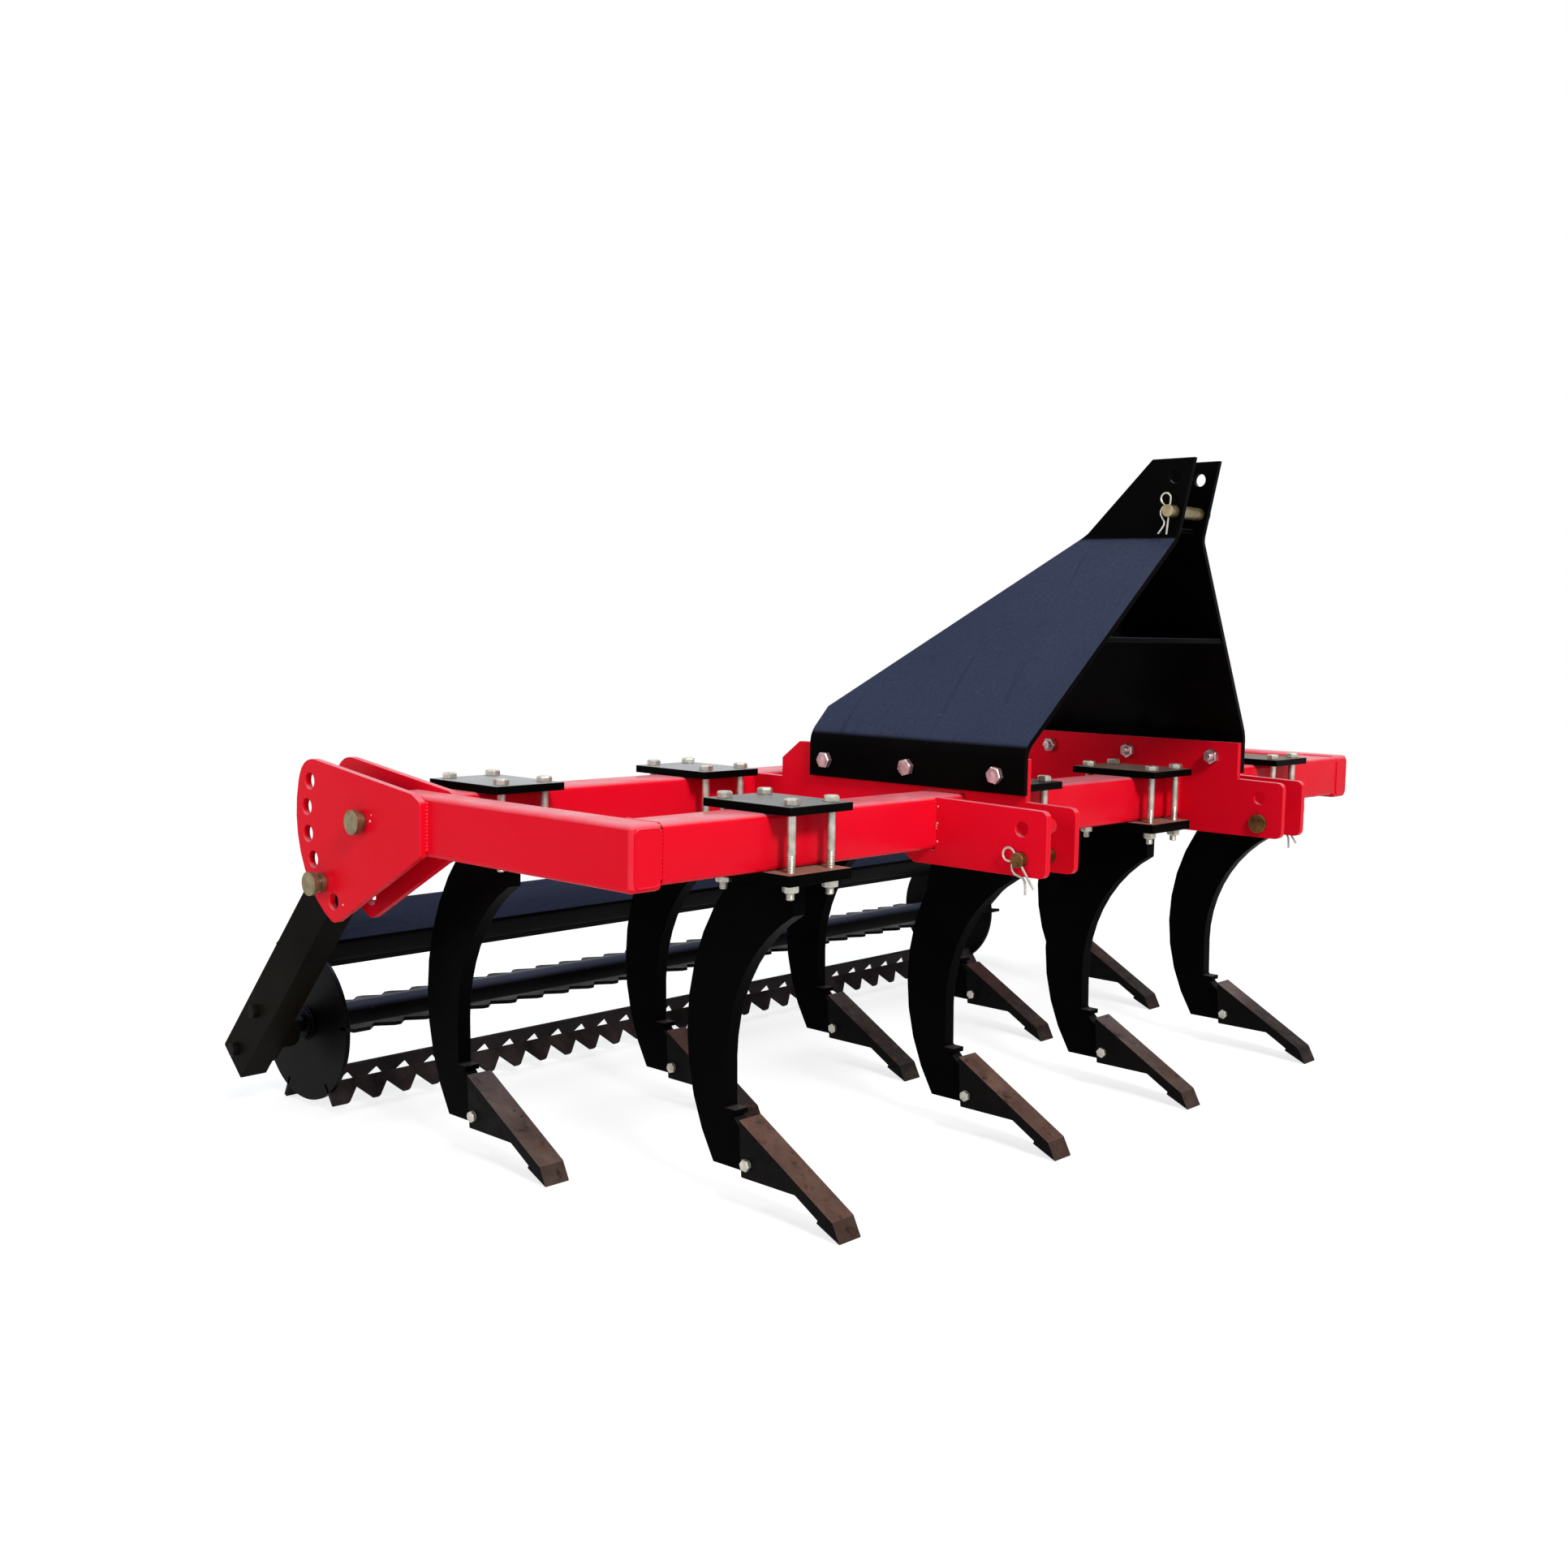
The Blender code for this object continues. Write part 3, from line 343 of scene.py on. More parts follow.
def red_paint(name, low, high, film, amount):
    """Enamel with a pale film on what looks up: dust and a painted reflection of the sky."""
    material, tree, shader = start_material(name, 0.3, specular=0.05)
    tone = spread(tree, noise(tree, 2.6, 3.0), 0.3, 0.7)
    colour = mix(tree, tone, RED_DEEP, RED_BRIGHT)
    cloud = spread(tree, noise(tree, 5.0, 7.0, 0.66), 0.34, 0.66, 0.42, 1.0)
    cover = times(tree, times(tree, upward(tree, low, high), cloud), amount)
    colour = mix(tree, cover, colour, film)
    grit = spread(tree, noise(tree, 75.0, 7.0, 0.7), 0.60, 0.80)
    grit = times(tree, grit, upward(tree, 0.2, 0.9))
    colour = mix(tree, times(tree, grit, 0.35), colour, GRIT)
    tree.links.new(colour, shader.inputs["Base Color"])
    rough = spread(tree, noise(tree, 14.0, 5.0), 0.3, 0.75, 0.22, 0.40)
    tree.links.new(rough, shader.inputs["Roughness"])
    bump(tree, shader, noise(tree, 190.0, 3.0), 0.0003, 0.35)
    return material


def black_paint(name, dark, light, film, amount, low=0.38, high=0.52, specular=0.011, low_film=None):
    """Black enamel with a film on what looks up, given by each call: a painted reflection of the sky, dust
    or mill scale.

    A low film takes the film's place near the ground."""
    material, tree, shader = start_material(name, 0.34, specular=specular)
    tone = spread(tree, noise(tree, 6.0, 5.0, 0.6), 0.35, 0.7)
    base = mix(tree, tone, dark, light)
    clouds = spread(tree, noise(tree, 4.0, 6.0, 0.62), 0.28, 0.75, 0.82, 1.0)
    rubbed = spread(tree, noise(tree, 1.0, 3.0, 0.5, (2.0, 34.0, 2.0)), 0.62, 0.74, 1.0, 0.72)
    cover = times(tree, times(tree, upward(tree, low, high), times(tree, clouds, rubbed)), amount)
    if low_film:
        film = mix(tree, spread(tree, above_ground(tree), 0.30, 0.50), low_film, film)
    colour = mix(tree, cover, base, film)
    grain = spread(tree, noise(tree, 170.0, 5.0, 0.7), 0.40, 0.68, 0.0, 0.22)
    colour = mix(tree, grain, colour, dark)
    specks = spread(tree, noise(tree, 60.0, 6.0, 0.7), 0.62, 0.80)
    specks = times(tree, specks, upward(tree, 0.2, 0.8))
    colour = mix(tree, times(tree, specks, 0.30), colour, SPECK)
    tree.links.new(colour, shader.inputs["Base Color"])
    rough = spread(tree, noise(tree, 11.0, 5.0), 0.3, 0.75, 0.31, 0.42)
    tree.links.new(rough, shader.inputs["Roughness"])
    bump(tree, shader, noise(tree, 210.0, 3.0), 0.0003, 0.4)
    return material


def soiled_black(name):
    """Black enamel rubbed with dry soil near the ground."""
    material, tree, shader = start_material(name, 0.4, specular=0.03)
    tone = spread(tree, noise(tree, 6.0, 5.0, 0.6), 0.35, 0.7)
    base = mix(tree, tone, JET, TINE_LIGHT)
    soil = spread(tree, noise(tree, 9.0, 7.0, 0.66), 0.34, 0.68, 0.15, 1.0)
    soil = times(tree, soil, spread(tree, above_ground(tree), 0.03, 0.15, 1.0, 0.06))
    tree.links.new(mix(tree, soil, base, LOW_SOIL), shader.inputs["Base Color"])
    rough = spread(tree, noise(tree, 11.0, 5.0), 0.3, 0.75, 0.34, 0.60)
    tree.links.new(rough, shader.inputs["Roughness"])
    bump(tree, shader, noise(tree, 150.0, 5.0, 0.65), 0.0004, 0.5)
    return material


def two_shades(tree, tone, colour):
    """A colour that runs from a darker to a lighter shade of its own."""
    dark, light = (tuple(part * factor for part in colour) for factor in STEEL_SHADES)
    return mix(tree, tone, dark, light)


def point_steel(name, above, below, soot):
    """Forged point: bare and brown on top, black on its sides, sooty above its tip."""
    material, tree, shader = start_material(name, 0.5, specular=0.04)
    tone = spread(tree, noise(tree, 13.0, 7.0, 0.66), 0.32, 0.68)
    upper = two_shades(tree, tone, above)
    lower = two_shades(tree, tone, below)
    bare = mix(tree, spread(tree, above_ground(tree), 0.07, 0.17), lower, upper)
    low_part = spread(tree, above_ground(tree), 0.125, 0.095)
    off_tip = spread(tree, above_ground(tree), 0.012, 0.030)
    patch = spread(tree, noise(tree, 14.0, 5.0, 0.6), 0.30, 0.50, 0.55, 1.0)
    sooty = times(tree, times(tree, low_part, off_tip), times(tree, patch, soot))
    bare = mix(tree, sooty, bare, TIP_SOOT)
    rust = spread(tree, noise(tree, 46.0, 7.0, 0.70), 0.50, 0.72)
    bare = mix(tree, times(tree, rust, 0.55), bare, RUST)
    scale = spread(tree, noise(tree, 30.0, 7.0, 0.72), 0.56, 0.66)
    bare = mix(tree, times(tree, scale, 0.7), bare, MILL_SCALE)
    side = mix(tree, tone, SIDE_DARK, SIDE_LIGHT)
    colour = mix(tree, upward(tree, 0.30, 0.62), side, bare)
    tree.links.new(colour, shader.inputs["Base Color"])
    rough = spread(tree, noise(tree, 40.0, 5.0), 0.3, 0.7, 0.38, 0.66)
    tree.links.new(rough, shader.inputs["Roughness"])
    bump(tree, shader, noise(tree, 120.0, 6.0, 0.7), 0.0010, 0.6)
    return material


def plated(name, dark, light, roughness, metallic=0.85):
    """Zinc or primer with a cloudy tone."""
    material, tree, shader = start_material(name, roughness, metallic=metallic)
    tone = spread(tree, noise(tree, 48.0, 5.0), 0.3, 0.7)
    tree.links.new(mix(tree, tone, dark, light), shader.inputs["Base Color"])
    rough = spread(tree, noise(tree, 90.0, 4.0), 0.3, 0.7, roughness - 0.08, roughness + 0.12)
    tree.links.new(rough, shader.inputs["Roughness"])
    bump(tree, shader, noise(tree, 420.0, 3.0), 0.0002, 0.4)
    return material


def clamp_paint(name, film, amount):
    """Enamel of a clamp plate, whose film of dust and painted sky reflection lies on its top alone."""
    return black_paint(name, JET, SOOT, film, amount, low=0.6, high=0.95)


# Its pale film on what looks up is dust and a painted reflection of the sky
RED = red_paint("red_enamel", 0.45, 0.92, DUST_AND_SKY_RED, 0.62)
# Softened edges, with the film reaching down to upright faces: a painted highlight, with dust
RED_RIM = red_paint("red_enamel_rim", -0.15, 0.75, PINK_DUST_AND_HIGHLIGHT, 0.75)
# Their slate films on what looks up are a painted reflection of the sky
BLACK = black_paint("black_enamel", JET, SOOT, SLATE, 0.9)
BLACK_RIM = black_paint("black_enamel_rim", RIM_DARK, RIM_LIGHT, RIM_SLATE, 0.7)
ARM_BLACK = black_paint("arm_enamel", ARM_DARK, ARM_LIGHT, SLATE, 0.85)
SHANK_BLACK = black_paint(
    "shank_enamel", JET, SOOT, TAN_DUST, 0.88, low=0.70, high=0.97, specular=0.008, low_film=GREY_DUST)
# The cage's slate film on what looks up is a painted reflection of the sky
CAGE_BLACK = black_paint(
    "cage_enamel", JET, CAGE_LIGHT, CAGE_SLATE, 0.8, low=0.45, high=0.8, specular=0.03)
TINE_BLACK = soiled_black("tine_enamel")
ZINC = plated("bright_zinc", (0.33, 0.32, 0.27), (0.64, 0.62, 0.55), 0.36)
PINK_ZINC = plated("bright_zinc_by_red", (0.26, 0.13, 0.14), (0.72, 0.56, 0.57), 0.32)
OLIVE = plated("olive_zinc", (0.14, 0.105, 0.052), (0.30, 0.25, 0.145), 0.38)
GOLD = plated("golden_zinc", (0.075, 0.036, 0.009), (0.27, 0.155, 0.050), 0.40)
CHIP = plated("chipped_primer", (0.62, 0.42, 0.40), (0.86, 0.74, 0.70), 0.5, metallic=0.0)

# Steel of the points: colour of the upper and the lower half, and soot above the tip
BROWN_STEEL = point_steel("brown_steel", (0.110, 0.066, 0.052), (0.106, 0.062, 0.048), 0.15)
VIOLET_STEEL = point_steel("violet_steel", (0.098, 0.079, 0.083), (0.102, 0.069, 0.058), 0.30)
SOOTY_STEEL = point_steel("sooty_steel", (0.108, 0.086, 0.084), (0.044, 0.036, 0.034), 0.80)
RUSTY_STEEL = point_steel("rusty_steel", (0.098, 0.050, 0.043), (0.042, 0.028, 0.025), 0.75)

# Enamel of the clamp plates, by the film on their tops: dust and a painted reflection of the sky
PALE_CLAMP = clamp_paint("pale_clamp_enamel", (0.42, 0.42, 0.42), 0.92)
GREY_CLAMP = clamp_paint("grey_clamp_enamel", (0.235, 0.230, 0.224), 0.95)
SOIL_AND_SHEEN_CLAMP = clamp_paint("soil_and_sheen_clamp_enamel", (0.185, 0.138, 0.110), 0.88)
DARK_CLAMP = clamp_paint("dark_clamp_enamel", (0.085, 0.065, 0.055), 0.85)

# Tools by row and number, with the steel of the point and the enamel of the clamp plate
TOOLS = (
    ("front", 1, BROWN_STEEL, GREY_CLAMP),
    ("front", 2, BROWN_STEEL, DARK_CLAMP),
    ("front", 3, VIOLET_STEEL, SOIL_AND_SHEEN_CLAMP),
    ("front", 4, SOOTY_STEEL, SOIL_AND_SHEEN_CLAMP),
    ("rear", 1, VIOLET_STEEL, PALE_CLAMP),
    ("rear", 2, RUSTY_STEEL, PALE_CLAMP),
    ("rear", 3, SOOTY_STEEL, SOIL_AND_SHEEN_CLAMP),
    ("rear", 4, RUSTY_STEEL, GREY_CLAMP),
    ("rear", 5, RUSTY_STEEL, SOIL_AND_SHEEN_CLAMP))

# The material on the softened edges of some materials, which takes their second slot
RIMS = {
    RED: RED_RIM, BLACK: BLACK_RIM, PALE_CLAMP: BLACK_RIM, GREY_CLAMP: BLACK_RIM,
    SOIL_AND_SHEEN_CLAMP: BLACK_RIM, DARK_CLAMP: BLACK_RIM}


# Pieces
def show(name, mesh, material, body, replaced=(), edge=0.0, steps=2):
    """Adds a mesh as a piece that rides on a body, with softened edges."""
    piece = bpy.data.objects.new(name, mesh)
    bpy.context.scene.collection.objects.link(piece)
    mesh.materials.clear()
    mesh.materials.append(material)
    mesh.shade_smooth()
    if edge:
        soften = piece.modifiers.new("edges", "BEVEL")
        soften.width = edge
        soften.segments = steps
        soften.limit_method = "ANGLE"
        soften.angle_limit = EDGE_ANGLE
        if material in RIMS:
            mesh.materials.append(RIMS[material])
            soften.material = 1
        level = piece.modifiers.new("level", "WEIGHTED_NORMAL")
        level.keep_sharp = True
    else:
        mesh.set_sharp_from_angle(angle=SHARP_ANGLE)
    if replaced:
        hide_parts(*replaced)
    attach(piece, body)
    return piece


def tidy_copy(name):
    """A CAD node's mesh with its split corners joined and its flat faces whole."""
    mesh = frame["nodes"][name].data.copy()
    shape = bmesh.new()
    shape.from_mesh(mesh)
    bmesh.ops.remove_doubles(shape, verts=shape.verts, dist=2e-5)
    bmesh.ops.dissolve_limit(
        shape, angle_limit=math.radians(0.5), verts=shape.verts, edges=shape.edges)
    shape.to_mesh(mesh)
    shape.free()
    return mesh


def dress(name, material, body="implement", edge=SMALL_EDGE):
    """Takes a CAD node's place with a painted copy of it."""
    return show(name + "_skin", tidy_copy(name), material, body, (name,), edge)


def new_mesh(build):
    """A mesh from a function that adds to a shape."""
    shape = bmesh.new()
    build(shape)
    bmesh.ops.recalc_face_normals(shape, faces=shape.faces)
    mesh = bpy.data.meshes.new("piece")
    shape.to_mesh(mesh)
    shape.free()
    return mesh


def facing(axis):
    """Turns the local +Z to point along an axis."""
    return Vector((0, 0, 1)).rotation_difference(Vector(axis)).to_matrix().to_4x4()


def circle(sides):
    """Cosine and sine of each corner of a ring."""
    angles = [2 * math.pi * k / sides for k in range(sides)]
    return [(math.cos(angle), math.sin(angle)) for angle in angles]


def bridge(shape, low, high):
    """Faces from one ring of corners to the next."""
    count = len(low)
    for k in range(count):
        shape.faces.new((low[k], low[(k + 1) % count], high[(k + 1) % count], high[k]))


def turned(shape, profile, place, axis, sides=40, spin=0.0):
    """A turned body: (height, radius) pairs along an axis from a place, closed at both ends."""
    turn = Matrix.Translation(place) @ facing(axis) @ Matrix.Rotation(spin, 4, "Z")
    rings = [
        [shape.verts.new(turn @ Vector((radius * a, radius * b, height))) for a, b in circle(sides)]
        for height, radius in profile]
    for low, high in zip(rings, rings[1:]):
        bridge(shape, low, high)
    shape.faces.new(reversed(rings[0]))
    shape.faces.new(rings[-1])


def thread(start, end, radius):
    """Profile of a threaded stretch between two heights."""
    profile = []
    turns = max(2, int(abs(end - start) / THREAD_PITCH))
    for k in range(turns):
        height = start + (end - start) * k / turns
        profile += [(height, radius * THREAD_ROOT), (height + (end - start) / turns / 2, radius)]
    return profile


def bolt_head(shape, place, axis, radius=HEAD_RADIUS):
    """Hexagon head with a turned crown, standing on a face."""
    spin = DRAWS.uniform(0, math.pi / 3)
    high = HEAD_HEIGHT * radius / HEAD_RADIUS
    turned(shape, ((0.0, radius * 0.84), (0.0008, radius * 0.84)), place, axis, 24)
    turned(
        shape, ((0.0008, radius), (high * 0.82, radius), (high, radius * 0.88)), place, axis, 6, spin)
    turned(shape, ((high * 0.9, radius * 0.80), (high + 0.0002, radius * 0.80)), place, axis, 24)


def nut_end(shape, place, axis, free, radius=HEAD_RADIUS):
    """Nut with the bolt's threaded end on a face."""
    spin = DRAWS.uniform(0, math.pi / 3)
    scale = radius / HEAD_RADIUS
    high = NUT_HEIGHT * scale
    nut = ((0.0, radius * 0.88), (high * 0.14, radius), (high * 0.86, radius), (high, radius * 0.88))
    turned(shape, nut, place, axis, 6, spin)
    bolt = BOLT_RADIUS * scale
    end = thread(high * 0.9, high + free - 0.0015, bolt * 0.95)
    end += [(high + free - 0.0012, bolt * 0.86), (high + free, bolt * 0.68)]
    turned(shape, end, place, axis, 20)


def swept(shape, path, radius, sides=10, closed=False, wave=0.0):
    """A round bar along a path of points. A wave makes it a weld bead with ripples."""
    points = [Vector(p) for p in path]
    count = len(points)
    rings = []
    up = None
    for i, point in enumerate(points):
        ahead = points[(i + 1) % count] if closed or i < count - 1 else point
        behind = points[i - 1] if closed or i > 0 else point
        along = (ahead - behind).normalized()
        if up is None:
            up = along.orthogonal().normalized()
        up = (up - along * up.dot(along)).normalized()
        side = along.cross(up)
        size = radius
        if wave:
            ripple = wave * (abs(math.sin(math.pi * i / RIPPLE_STEPS)) - 0.5)
            size = radius * (1 + ripple + DRAWS.uniform(-WOBBLE, WOBBLE))
        rings.append([
            shape.verts.new(point + (up * a + side * b) * size) for a, b in circle(sides)])
    for low, high in zip(rings, rings[1:]):
        bridge(shape, low, high)
    if closed:
        bridge(shape, rings[-1], rings[0])
    else:
        shape.faces.new(reversed(rings[0]))
        shape.faces.new(rings[-1])


def bead(shape, start, end, radius=BEAD):
    """A weld bead in a straight corner."""
    start, end = Vector(start), Vector(end)
    steps = max(3, int((end - start).length / BEAD_STEP))
    path = [start.lerp(end, i / steps) for i in range(steps + 1)]
    swept(shape, path, radius, 8, wave=RIPPLE)


def upright_bead(shape, x, y, low, high, inset, radius=BEAD):
    """A weld bead up a corner, held back from both its ends."""
    bead(shape, (x, y, low + inset), (x, y, high - inset), radius)


def ring_bead(shape, place, axis, around):
    """A weld bead round a shaft or tube."""
    turn = Matrix.Translation(place) @ facing(axis)
    steps = int(2 * math.pi * around / RING_STEP) // RIPPLE_STEPS * RIPPLE_STEPS
    path = [turn @ Vector((around * a, around * b, 0)) for a, b in circle(steps)]
    swept(shape, path, BEAD, 8, closed=True, wave=RIPPLE)


def rounded(outline, radii, steps=4):
    """An outline of (x, y) corners, each rounded by its own radius."""
    points = []
    for i, (corner, radius) in enumerate(zip(outline, radii)):
        here = Vector(corner)
        if radius <= 0:
            points.append(here)
            continue
        before = (Vector(outline[i - 1]) - here).normalized()
        after = (Vector(outline[(i + 1) % len(outline)]) - here).normalized()
        half = before.angle(after) / 2
        reach = radius / math.tan(half)
        centre = here + (before + after).normalized() * radius / math.sin(half)
        start = here + before * reach - centre
        turn = start.angle_signed(here + after * reach - centre)
        for k in range(steps + 1):
            angle = -turn * k / steps
            points.append(centre + Vector((
                start.x * math.cos(angle) - start.y * math.sin(angle),
                start.x * math.sin(angle) + start.y * math.cos(angle))))
    return points


def prism(shape, outline, low, high, matrix):
    """An outline in the local X and Z, from a low to a high local Y."""
    rings = [
        [shape.verts.new(matrix @ Vector((p[0], y, p[1]))) for p in outline] for y in (low, high)]
    bridge(shape, *rings)
    shape.faces.new(rings[0])
    shape.faces.new(rings[1])


def plate(shape, low, high):
    """A flat plate between two opposite corners."""
    place = Matrix.Translation((Vector(low) + Vector(high)) / 2)
    size = Vector(high) - Vector(low)
    bmesh.ops.create_cube(shape, size=1.0, matrix=place @ Matrix.Diagonal((*size, 1.0)))


def add_red_frame():
    for name in ("front_beam", "rear_beam"):
        dress(name, RED, edge=0.0)
    for side in ("left", "right"):
        dress("side_beam_" + side, RED, edge=SIDE_BEAM_EDGE)
        for name in ("hitch_plate_", "outer_lug_", "sector_outer_", "sector_inner_"):
            dress(name + side, RED, edge=PLATE_EDGE)


def add_end_caps():
    """Closing plates on the open ends of the side beams, with a welded rim."""
    def caps(shape):
        low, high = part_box("side_beam_left")
        middle = Vector(((low.x + high.x) / 2, (low.z + high.z) / 2))
        wide = high.x - low.x - 2 * SIDE_BEAM_EDGE
        tall = high.z - low.z - 2 * SIDE_BEAM_EDGE
        corners = [
            (-wide / 2, -tall / 2), (wide / 2, -tall / 2), (wide / 2, tall / 2), (-wide / 2, tall / 2)]
        radii = (CAP_CORNER,) * 4
        for sign in (-1, 1):
            for y, depth in ((low.y, -CAP_DEPTH), (high.y, CAP_DEPTH)):
                place = Matrix.Translation((sign * middle.x, y, middle.y))
                prism(shape, rounded(corners, radii), min(depth, 0.0), max(depth, 0.0), place)
                rim = [place @ Vector((p[0], depth * 0.5, p[1])) for p in rounded(corners, radii, 6)]
                path = []
                for a, b in zip(rim, rim[1:] + rim[:1]):
                    steps = max(1, int((b - a).length / CAP_STEP))
                    path += [a.lerp(b, i / steps) for i in range(steps)]
                swept(shape, path, CAP_BEAD, 8, closed=True, wave=CAP_RIPPLE)
    show("beam_end_caps", new_mesh(caps), RED, "implement")


def add_chips():
    """Small chips in the paint beside the pins and on the lugs."""
    def build(shape):
        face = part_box("sector_outer_left")[1].x
        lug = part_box("outer_lug_left")[1].x
        spots = [
            # x, y, z, size
            (-face, PIVOT.y - 0.034, PIVOT.z + 0.004, 0.0030),
            (-face, PIVOT.y + 0.060, PIVOT.z - 0.165, 0.0026),
            (-face, PIVOT.y - 0.038, PIVOT.z + 0.016, 0.0016),
            (face, PIVOT.y - 0.030, PIVOT.z - 0.010, 0.0026)]
        for side in (-1, 1):
            spots += [
                (side * lug, TOOL_Y - DRAWS.uniform(0.004, 0.009), TOOL_Z + z, DRAWS.uniform(0.0012, 0.0028))
                for z in LUG_CHIPS]
        for x, y, z, size in spots:
            outward = math.copysign(1, x)
            ring = []
            for a, b in circle(CHIP_CORNERS):
                reach = size * DRAWS.uniform(0.6, 1.0)
                ring.append((reach * a, reach * b))
            low = [shape.verts.new((x, y + a, z + b)) for a, b in ring]
            high = [
                shape.verts.new((x + outward * CHIP_HEIGHT, y + a * 0.9, z + b * 0.9)) for a, b in ring]
            bridge(shape, low, high)
            shape.faces.new(low)
            shape.faces.new(high)
    show("paint_chips", new_mesh(build), CHIP, "implement")


def add_tower():
    for name in ("tower_plate_left", "tower_plate_right"):
        dress(name, BLACK, edge=TOWER_EDGE)
    dress("tower_brace", BLACK)
    dress("ear_web", BLACK)
    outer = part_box("tower_plate_left")[1].x
    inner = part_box("hitch_plate_left")[0].x

    def build(shape):
        for side in (-1, 1):
            for y in TOWER_BOLTS:
                bolt_head(shape, at(side * outer, y, TOWER_BOLT_Z), (side, 0, 0), TOWER_HEAD)
                nut_end(
                    shape, at(side * inner, y, TOWER_BOLT_Z), (-side, 0, 0), TOWER_FREE, TOWER_HEAD)
    show("tower_bolts", new_mesh(build), PINK_ZINC, "implement", edge=LARGE_BOLT_EDGE)


def add_pins():
    for side in ("left", "right"):
        for name, material in (("hitch_pin_", GOLD), ("pivot_pin_", OLIVE), ("lock_pin_", OLIVE)):
            dress(name + side, material, edge=PIN_EDGE)
    dress("top_pin", OLIVE, edge=TOOL_EDGE)


def clip_path(place, drop, side, size):
    """An R-clip: its straight leg runs through the pin, its bent leg hugs the pin outside."""
    points = []
    for t in range(CLIP_LEG_STEPS + 1):
        points.append((CLIP_LEG_END - CLIP_LEG * t / CLIP_LEG_STEPS, 0.0))
    for t in range(1, CLIP_LOOP_STEPS + 1):
        angle = CLIP_LOOP_SWEEP * t / CLIP_LOOP_STEPS
        points.append((
            CLIP_LEG_END - CLIP_LEG - CLIP_LOOP * math.sin(angle), CLIP_LOOP - CLIP_LOOP * math.cos(angle)))
    points += CLIP_BEND
    smooth = []
    for a, b in zip(points, points[1:]):
        smooth += [(a[0] + (b[0] - a[0]) * t / 2, a[1] + (b[1] - a[1]) * t / 2) for t in range(2)]
    smooth.append(points[-1])
    return [place + Vector(drop) * (a * size + CLIP_DROP) + Vector(side) * (b * size) for a, b in smooth]


def add_clips():
    def build(shape):
        low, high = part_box("hitch_pin_right")
        y, z = (low.y + high.y) / 2, (low.z + high.z) / 2
        lean, fall = HITCH_CLIP_LEAN
        drop = Vector((0, lean, fall)).normalized()
        for sign in (-1, 1):
            place = Vector((sign * -(low.x + HITCH_CLIP_INSET), y, z))
            path = clip_path(place, drop, (0, -fall, lean), HITCH_CLIP_SIZE)
            swept(shape, path, HITCH_CLIP_WIRE, 10)
        low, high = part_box("top_pin")
        place = Vector((
            low.x + TOP_CLIP_INSET, (low.y + high.y) / 2, (low.z + high.z) / 2 + TOP_CLIP_RISE))
        path = clip_path(place, Vector((0, 0.10, -1)).normalized(), (0, 1, 0.1), TOP_CLIP_SIZE)
        swept(shape, path, TOP_CLIP_WIRE, 10)
    show("spring_clips", new_mesh(build), ZINC, "implement")


def add_clamp(tag, enamel):
    """Upper plate of a clamp and its four long bolts, with heads, threads and nuts."""
    low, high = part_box("clamp_" + tag)
    middle = (low + high) / 2

    def plate_part(shape):
        plate(shape, (low.x, low.y, high.z - CLAMP_PLATE), high)

    def bolts_part(shape):
        plain = BOLT_RADIUS * 1.02
        for x in (-CLAMP_BOLT_X, CLAMP_BOLT_X):
            for y in (-CLAMP_BOLT_Y, CLAMP_BOLT_Y):
                top = Vector((middle.x + x, middle.y + y, high.z))
                bolt_head(shape, top, (0, 0, 1))
                foot = Vector((top.x, top.y, FOOT_LOW))
                nut_end(shape, foot, (0, 0, -1), CLAMP_FREE)
                length = top.z - FOOT_LOW - CLAMP_BOLT_TOP
                profile = thread(*CLAMP_THREAD, BOLT_RADIUS) + [(CLAMP_PLAIN, plain), (length, plain)]
                turned(shape, profile, foot, (0, 0, 1), 20)
    show("clamp_plate_" + tag, new_mesh(plate_part), enamel, "implement", ("clamp_" + tag,), TOOL_EDGE)
    show("clamp_bolts_" + tag, new_mesh(bolts_part), ZINC, "implement", (), BOLT_EDGE)


def add_tools():
    """Shanks with their points, the bolts through them, and their clamps."""
    for row, number, steel, enamel in TOOLS:
        tag = f"{row}_{number}"
        dress("shank_" + tag, SHANK_BLACK, edge=TOOL_EDGE)
        dress("point_" + tag, steel, edge=POINT_EDGE)
        add_clamp(tag, enamel)
        low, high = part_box("point_" + tag)
        row_y = 0.0 if row == "front" else REAR_BEAM_Y

        def bolt_part(shape):
            place = at(0, row_y + POINT_BOLT_Y, POINT_BOLT_Z)
            bolt_head(shape, Vector((low.x, place.y, place.z)), (-1, 0, 0), POINT_HEAD)
            nut_end(shape, Vector((high.x, place.y, place.z)), (1, 0, 0), POINT_FREE, POINT_HEAD)
        show("point_bolt_" + tag, new_mesh(bolt_part), ZINC, "implement", (), BOLT_EDGE)


def on_arm(along, across):
    """A place in the middle plane, given along an arm from its pivot and behind it."""
    reach = AXLE - PIVOT
    lean = math.atan2(reach.z, reach.y) - math.atan2(AXLE_BEHIND, AXLE_ALONG)
    return Vector((
        0, PIVOT.y + along * math.cos(lean) - across * math.sin(lean),
        PIVOT.z + along * math.sin(lean) + across * math.cos(lean)))


